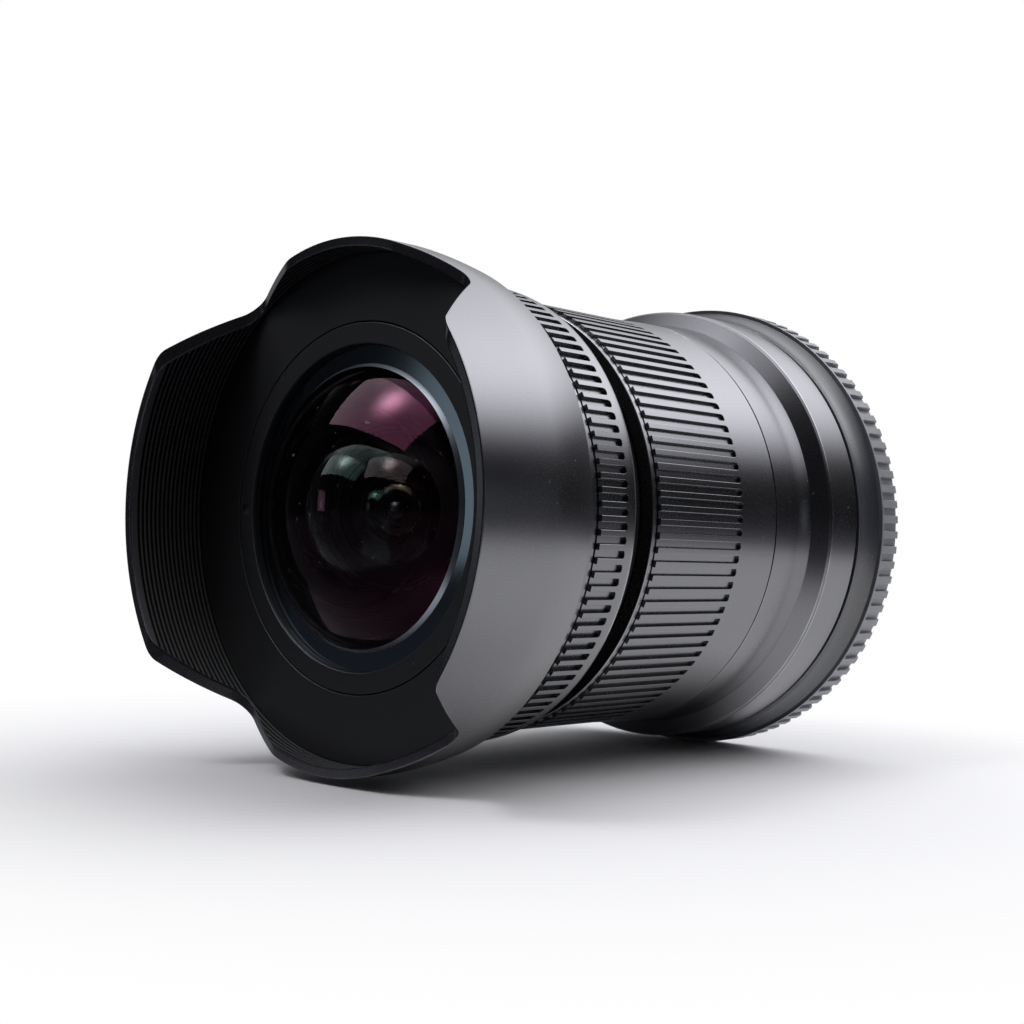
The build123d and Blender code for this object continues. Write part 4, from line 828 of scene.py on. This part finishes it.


# Rear cap
# Moulded plastic with a fine spark-eroded texture, its ribbed grip painted paler as a painted sheen. A
# hollow flare leads to a ribbed grip, and three inner lugs turn behind the tabs of the mount.
def moulded(name, colour, grip_sheen):
    """Moulded plastic: fine even texture, faint flow haze, rubbed edges, and a grip band painted paler, a
    painted sheen for the light its rounded ribs gather.
    """
    look = new_finish(name)
    place = look.place()
    texture = look.noise(place, 4200.0, 3.0)
    haze = look.noise(place, 70.0, 4.0)
    speck = look.step(look.noise(place, 1300.0, 1.0), 0.74, 0.77)
    rubbed = look.step(look.edge_mark(), 0.4, 1.0)
    depth, radius = look.cylindrical(place)
    # Painted sheen: the ribbed grip band behind the flare is painted paler and rougher.
    painted_grip_sheen = look.step(depth, 0.0038, 0.0042) * look.step(radius, 0.0343, 0.0348) * grip_sheen
    base = look.blend(haze, [0.8 * c for c in colour], [1.25 * c for c in colour])
    base = look.blend(painted_grip_sheen, base, (0.25, 0.255, 0.28))
    base = look.blend(rubbed * 0.5 + speck * 0.4, base, (0.24, 0.24, 0.27))
    rough = texture * 0.10 + 0.24 - rubbed * 0.06 + painted_grip_sheen * 0.25
    return look.close({"Base Color": base, "Roughness": rough, "IOR": 1.6, "Specular IOR Level": 0.9,
                       "Normal": look.bump(texture, 0.20)})


cap_bore = 30.3
cap_front = 0.35
cap_rim = 33.75
flare_length = 3.55
flare_rear = cap_front + flare_length
grip_floor = 35.0
grip_top = 35.6
grip_front = 4.3
cap_rear = 9.05
cap_inside = 7.2             # inner face of the cap's back
back_corner = 34.8
flare = np.linspace(0.0, 1.0, 14)[1:-1]
flare_rows = [(cap_rim + (grip_floor - cap_rim) * s ** 2.4, cap_front + flare_length * s, 0.0)
              for s in flare]
cap_ribs = [
    (grip_top, grip_top, grip_front, -1.0, 0.3, 0.0),
    (grip_top - 0.04, grip_top, grip_front + 0.05, -1.0, 0.6, 0.4),
    (grip_floor, grip_top, grip_front + 0.062, -1.0, -0.8, 1.0),
    (grip_floor, grip_top, grip_front + 0.12, -1.0, 0.0, 1.0),
    (grip_floor, grip_top, grip_front + 0.55, 0.0, 0.0, 1.0),
    (grip_floor, grip_top, 6.8, 0.0, 0.0, 1.0),
    (grip_floor, grip_top, 8.5, 0.0, 0.0, 1.0),
    (grip_floor, grip_top - 0.02, 8.56, 0.0, 0.0, 1.0),
    (grip_floor, grip_floor + 0.15, 8.98, 0.0, 0.0, 0.6),
    (grip_floor - 0.05, grip_floor + 0.02, cap_rear, 0.0, 0.4, 0.0),
    (back_corner, back_corner, cap_rear, 0.0, 0.0, 0.0),
]
cap_rows = (
    plain([(cap_bore, cap_front, 0.15), (cap_rim, cap_front, 0.10)] + flare_rows
          + [(grip_floor, flare_rear, 0.05), (grip_top, flare_rear, 0.08), (grip_top, 4.2, 0.0)])
    + cap_ribs
    + open_section([(back_corner, cap_rear, 0.0), (0.0, cap_rear, 0.0), (0.0, cap_inside, 0.0),
                    (cap_bore, cap_inside, 0.3), (cap_bore, cap_front, 0.0)])
)

lug_bore = 27.3
lug_radius = 31.75
lug_front = 0.55
lug_rear = 1.6


def lug(middle):
    """One inner lug: a soft-edged rectangle swept round the axis. At its ends the rectangle
    shrinks to its centre, which closes them."""
    section, weight = rounded([(lug_bore, lug_front, 0.15), (lug_radius, lug_front, 0.15),
                               (lug_radius, lug_rear, 0.15), (lug_bore, lug_rear, 0.15)])
    share = np.concatenate([[0.0, 0.8, 1.0], np.ones(21), [1.0, 0.8, 0.0]])
    sweep = np.concatenate([[-22.0, -22.0, -21.7], np.linspace(-21, 21, 21), [21.7, 22.0, 22.0]])
    centre = np.array(((lug_bore + lug_radius) / 2, (lug_front + lug_rear) / 2))
    radius = centre[0] + (section[:, :1] - centre[0]) * share[None, :]
    depth = centre[1] + (section[:, 1:] - centre[1]) * share[None, :]
    points, faces, edge = skin(radius, depth, weight[:, None], middle + sweep)
    columns = len(share)
    last = np.arange(len(faces)) % columns == columns - 1
    return points, faces[~last], edge


def joined(*surfaces):
    """Several surfaces as one: the face numbers of each are raised by the points before it."""
    starts = np.cumsum([0] + [len(surface[0]) for surface in surfaces[:-1]])
    return (np.concatenate([surface[0] for surface in surfaces]),
            np.concatenate([surface[1] + start for surface, start in zip(surfaces, starts)]),
            np.concatenate([surface[2] for surface in surfaces]))


cap_plastic = moulded("cap_plastic", (0.045, 0.048, 0.060), 1.0)
fit("cap_shell", joined(ribbed(cap_rows, 96, 0.52, grip_floor), lug(0.0), lug(120.0), lug(240.0)),
    "rear_cap", "cap_body", "cap_plastic", cap_plastic, weld=True)


# Inner pieces
# Everything under the visible shells keeps its machined shape. Cells, barrels and spacers are
# blackened aluminium, the mount is chromed brass, the screws are steel and the link is brass.
def machined(name, colour, roughness, metallic=1.0, lines=0.5):
    """Bare or blackened metal with turning lines around the axis and a light haze."""
    look = new_finish(name)
    place = look.place()
    turning = look.turning(place, 6000.0)
    haze = look.noise(place, 200.0, 3.0)
    base = look.blend(haze, [0.85 * c for c in colour], colour)
    rough = (turning - 0.5) * (0.3 * lines) + (haze - 0.5) * 0.12 + roughness
    return look.close({"Base Color": base, "Metallic": metallic, "Roughness": rough,
                       "Normal": look.bump(turning, 0.2 * lines)})


def dress(material, *nodes):
    """Gives CAD nodes a finish."""
    for node in nodes:
        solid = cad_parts[node]
        if not solid.material_slots:
            solid.data.materials.append(material)
        for holder in solid.material_slots:
            holder.material = material


blackened = machined("blackened", (0.012, 0.012, 0.013), 0.75, metallic=0.0, lines=0.8)
chromed = machined("chromed", (0.62, 0.62, 0.63), 0.22)
steel = machined("steel", (0.42, 0.42, 0.44), 0.3)
brass = machined("brass", (0.68, 0.52, 0.24), 0.3)
blade_black = machined("blade_black", (0.035, 0.035, 0.038), 0.38, lines=0.2)
index_paint = moulded("index_paint", (0.55, 0.08, 0.06), 0.0)
rear_coating = coated_glass("rear_coating", 1.60, (0.35, 0.60, 0.45))

dress(blackened, "front_spacer", "front_cell", "front_cell_ring", "middle_spacer", "optical_barrel",
      "guide_barrel", "focus_retainer", "focus_cam_sleeve", "front_frame", "aperture_ring_retainer",
      "rear_baffle", "iris_base", "iris_cover", "rear_spacer", "tail_spacer", "rear_retaining_ring",
      "rear_cell", "rear_cell_ring")
dress(chromed, "mount_plate")
dress(steel, "mount_screws", "hood_screws", "barrel_screws", "focus_stop_pin", "click_ball", "click_spring")
dress(brass, "cam_rollers", "aperture_link", "iris_drive_ring")
dress(blade_black, *["iris_blade_%02d" % number for number in range(1, 11)])
dress(index_paint, "mount_index_dot")
dress(rear_coating, "fifth_element", "sixth_element", "seventh_element", "eighth_element")
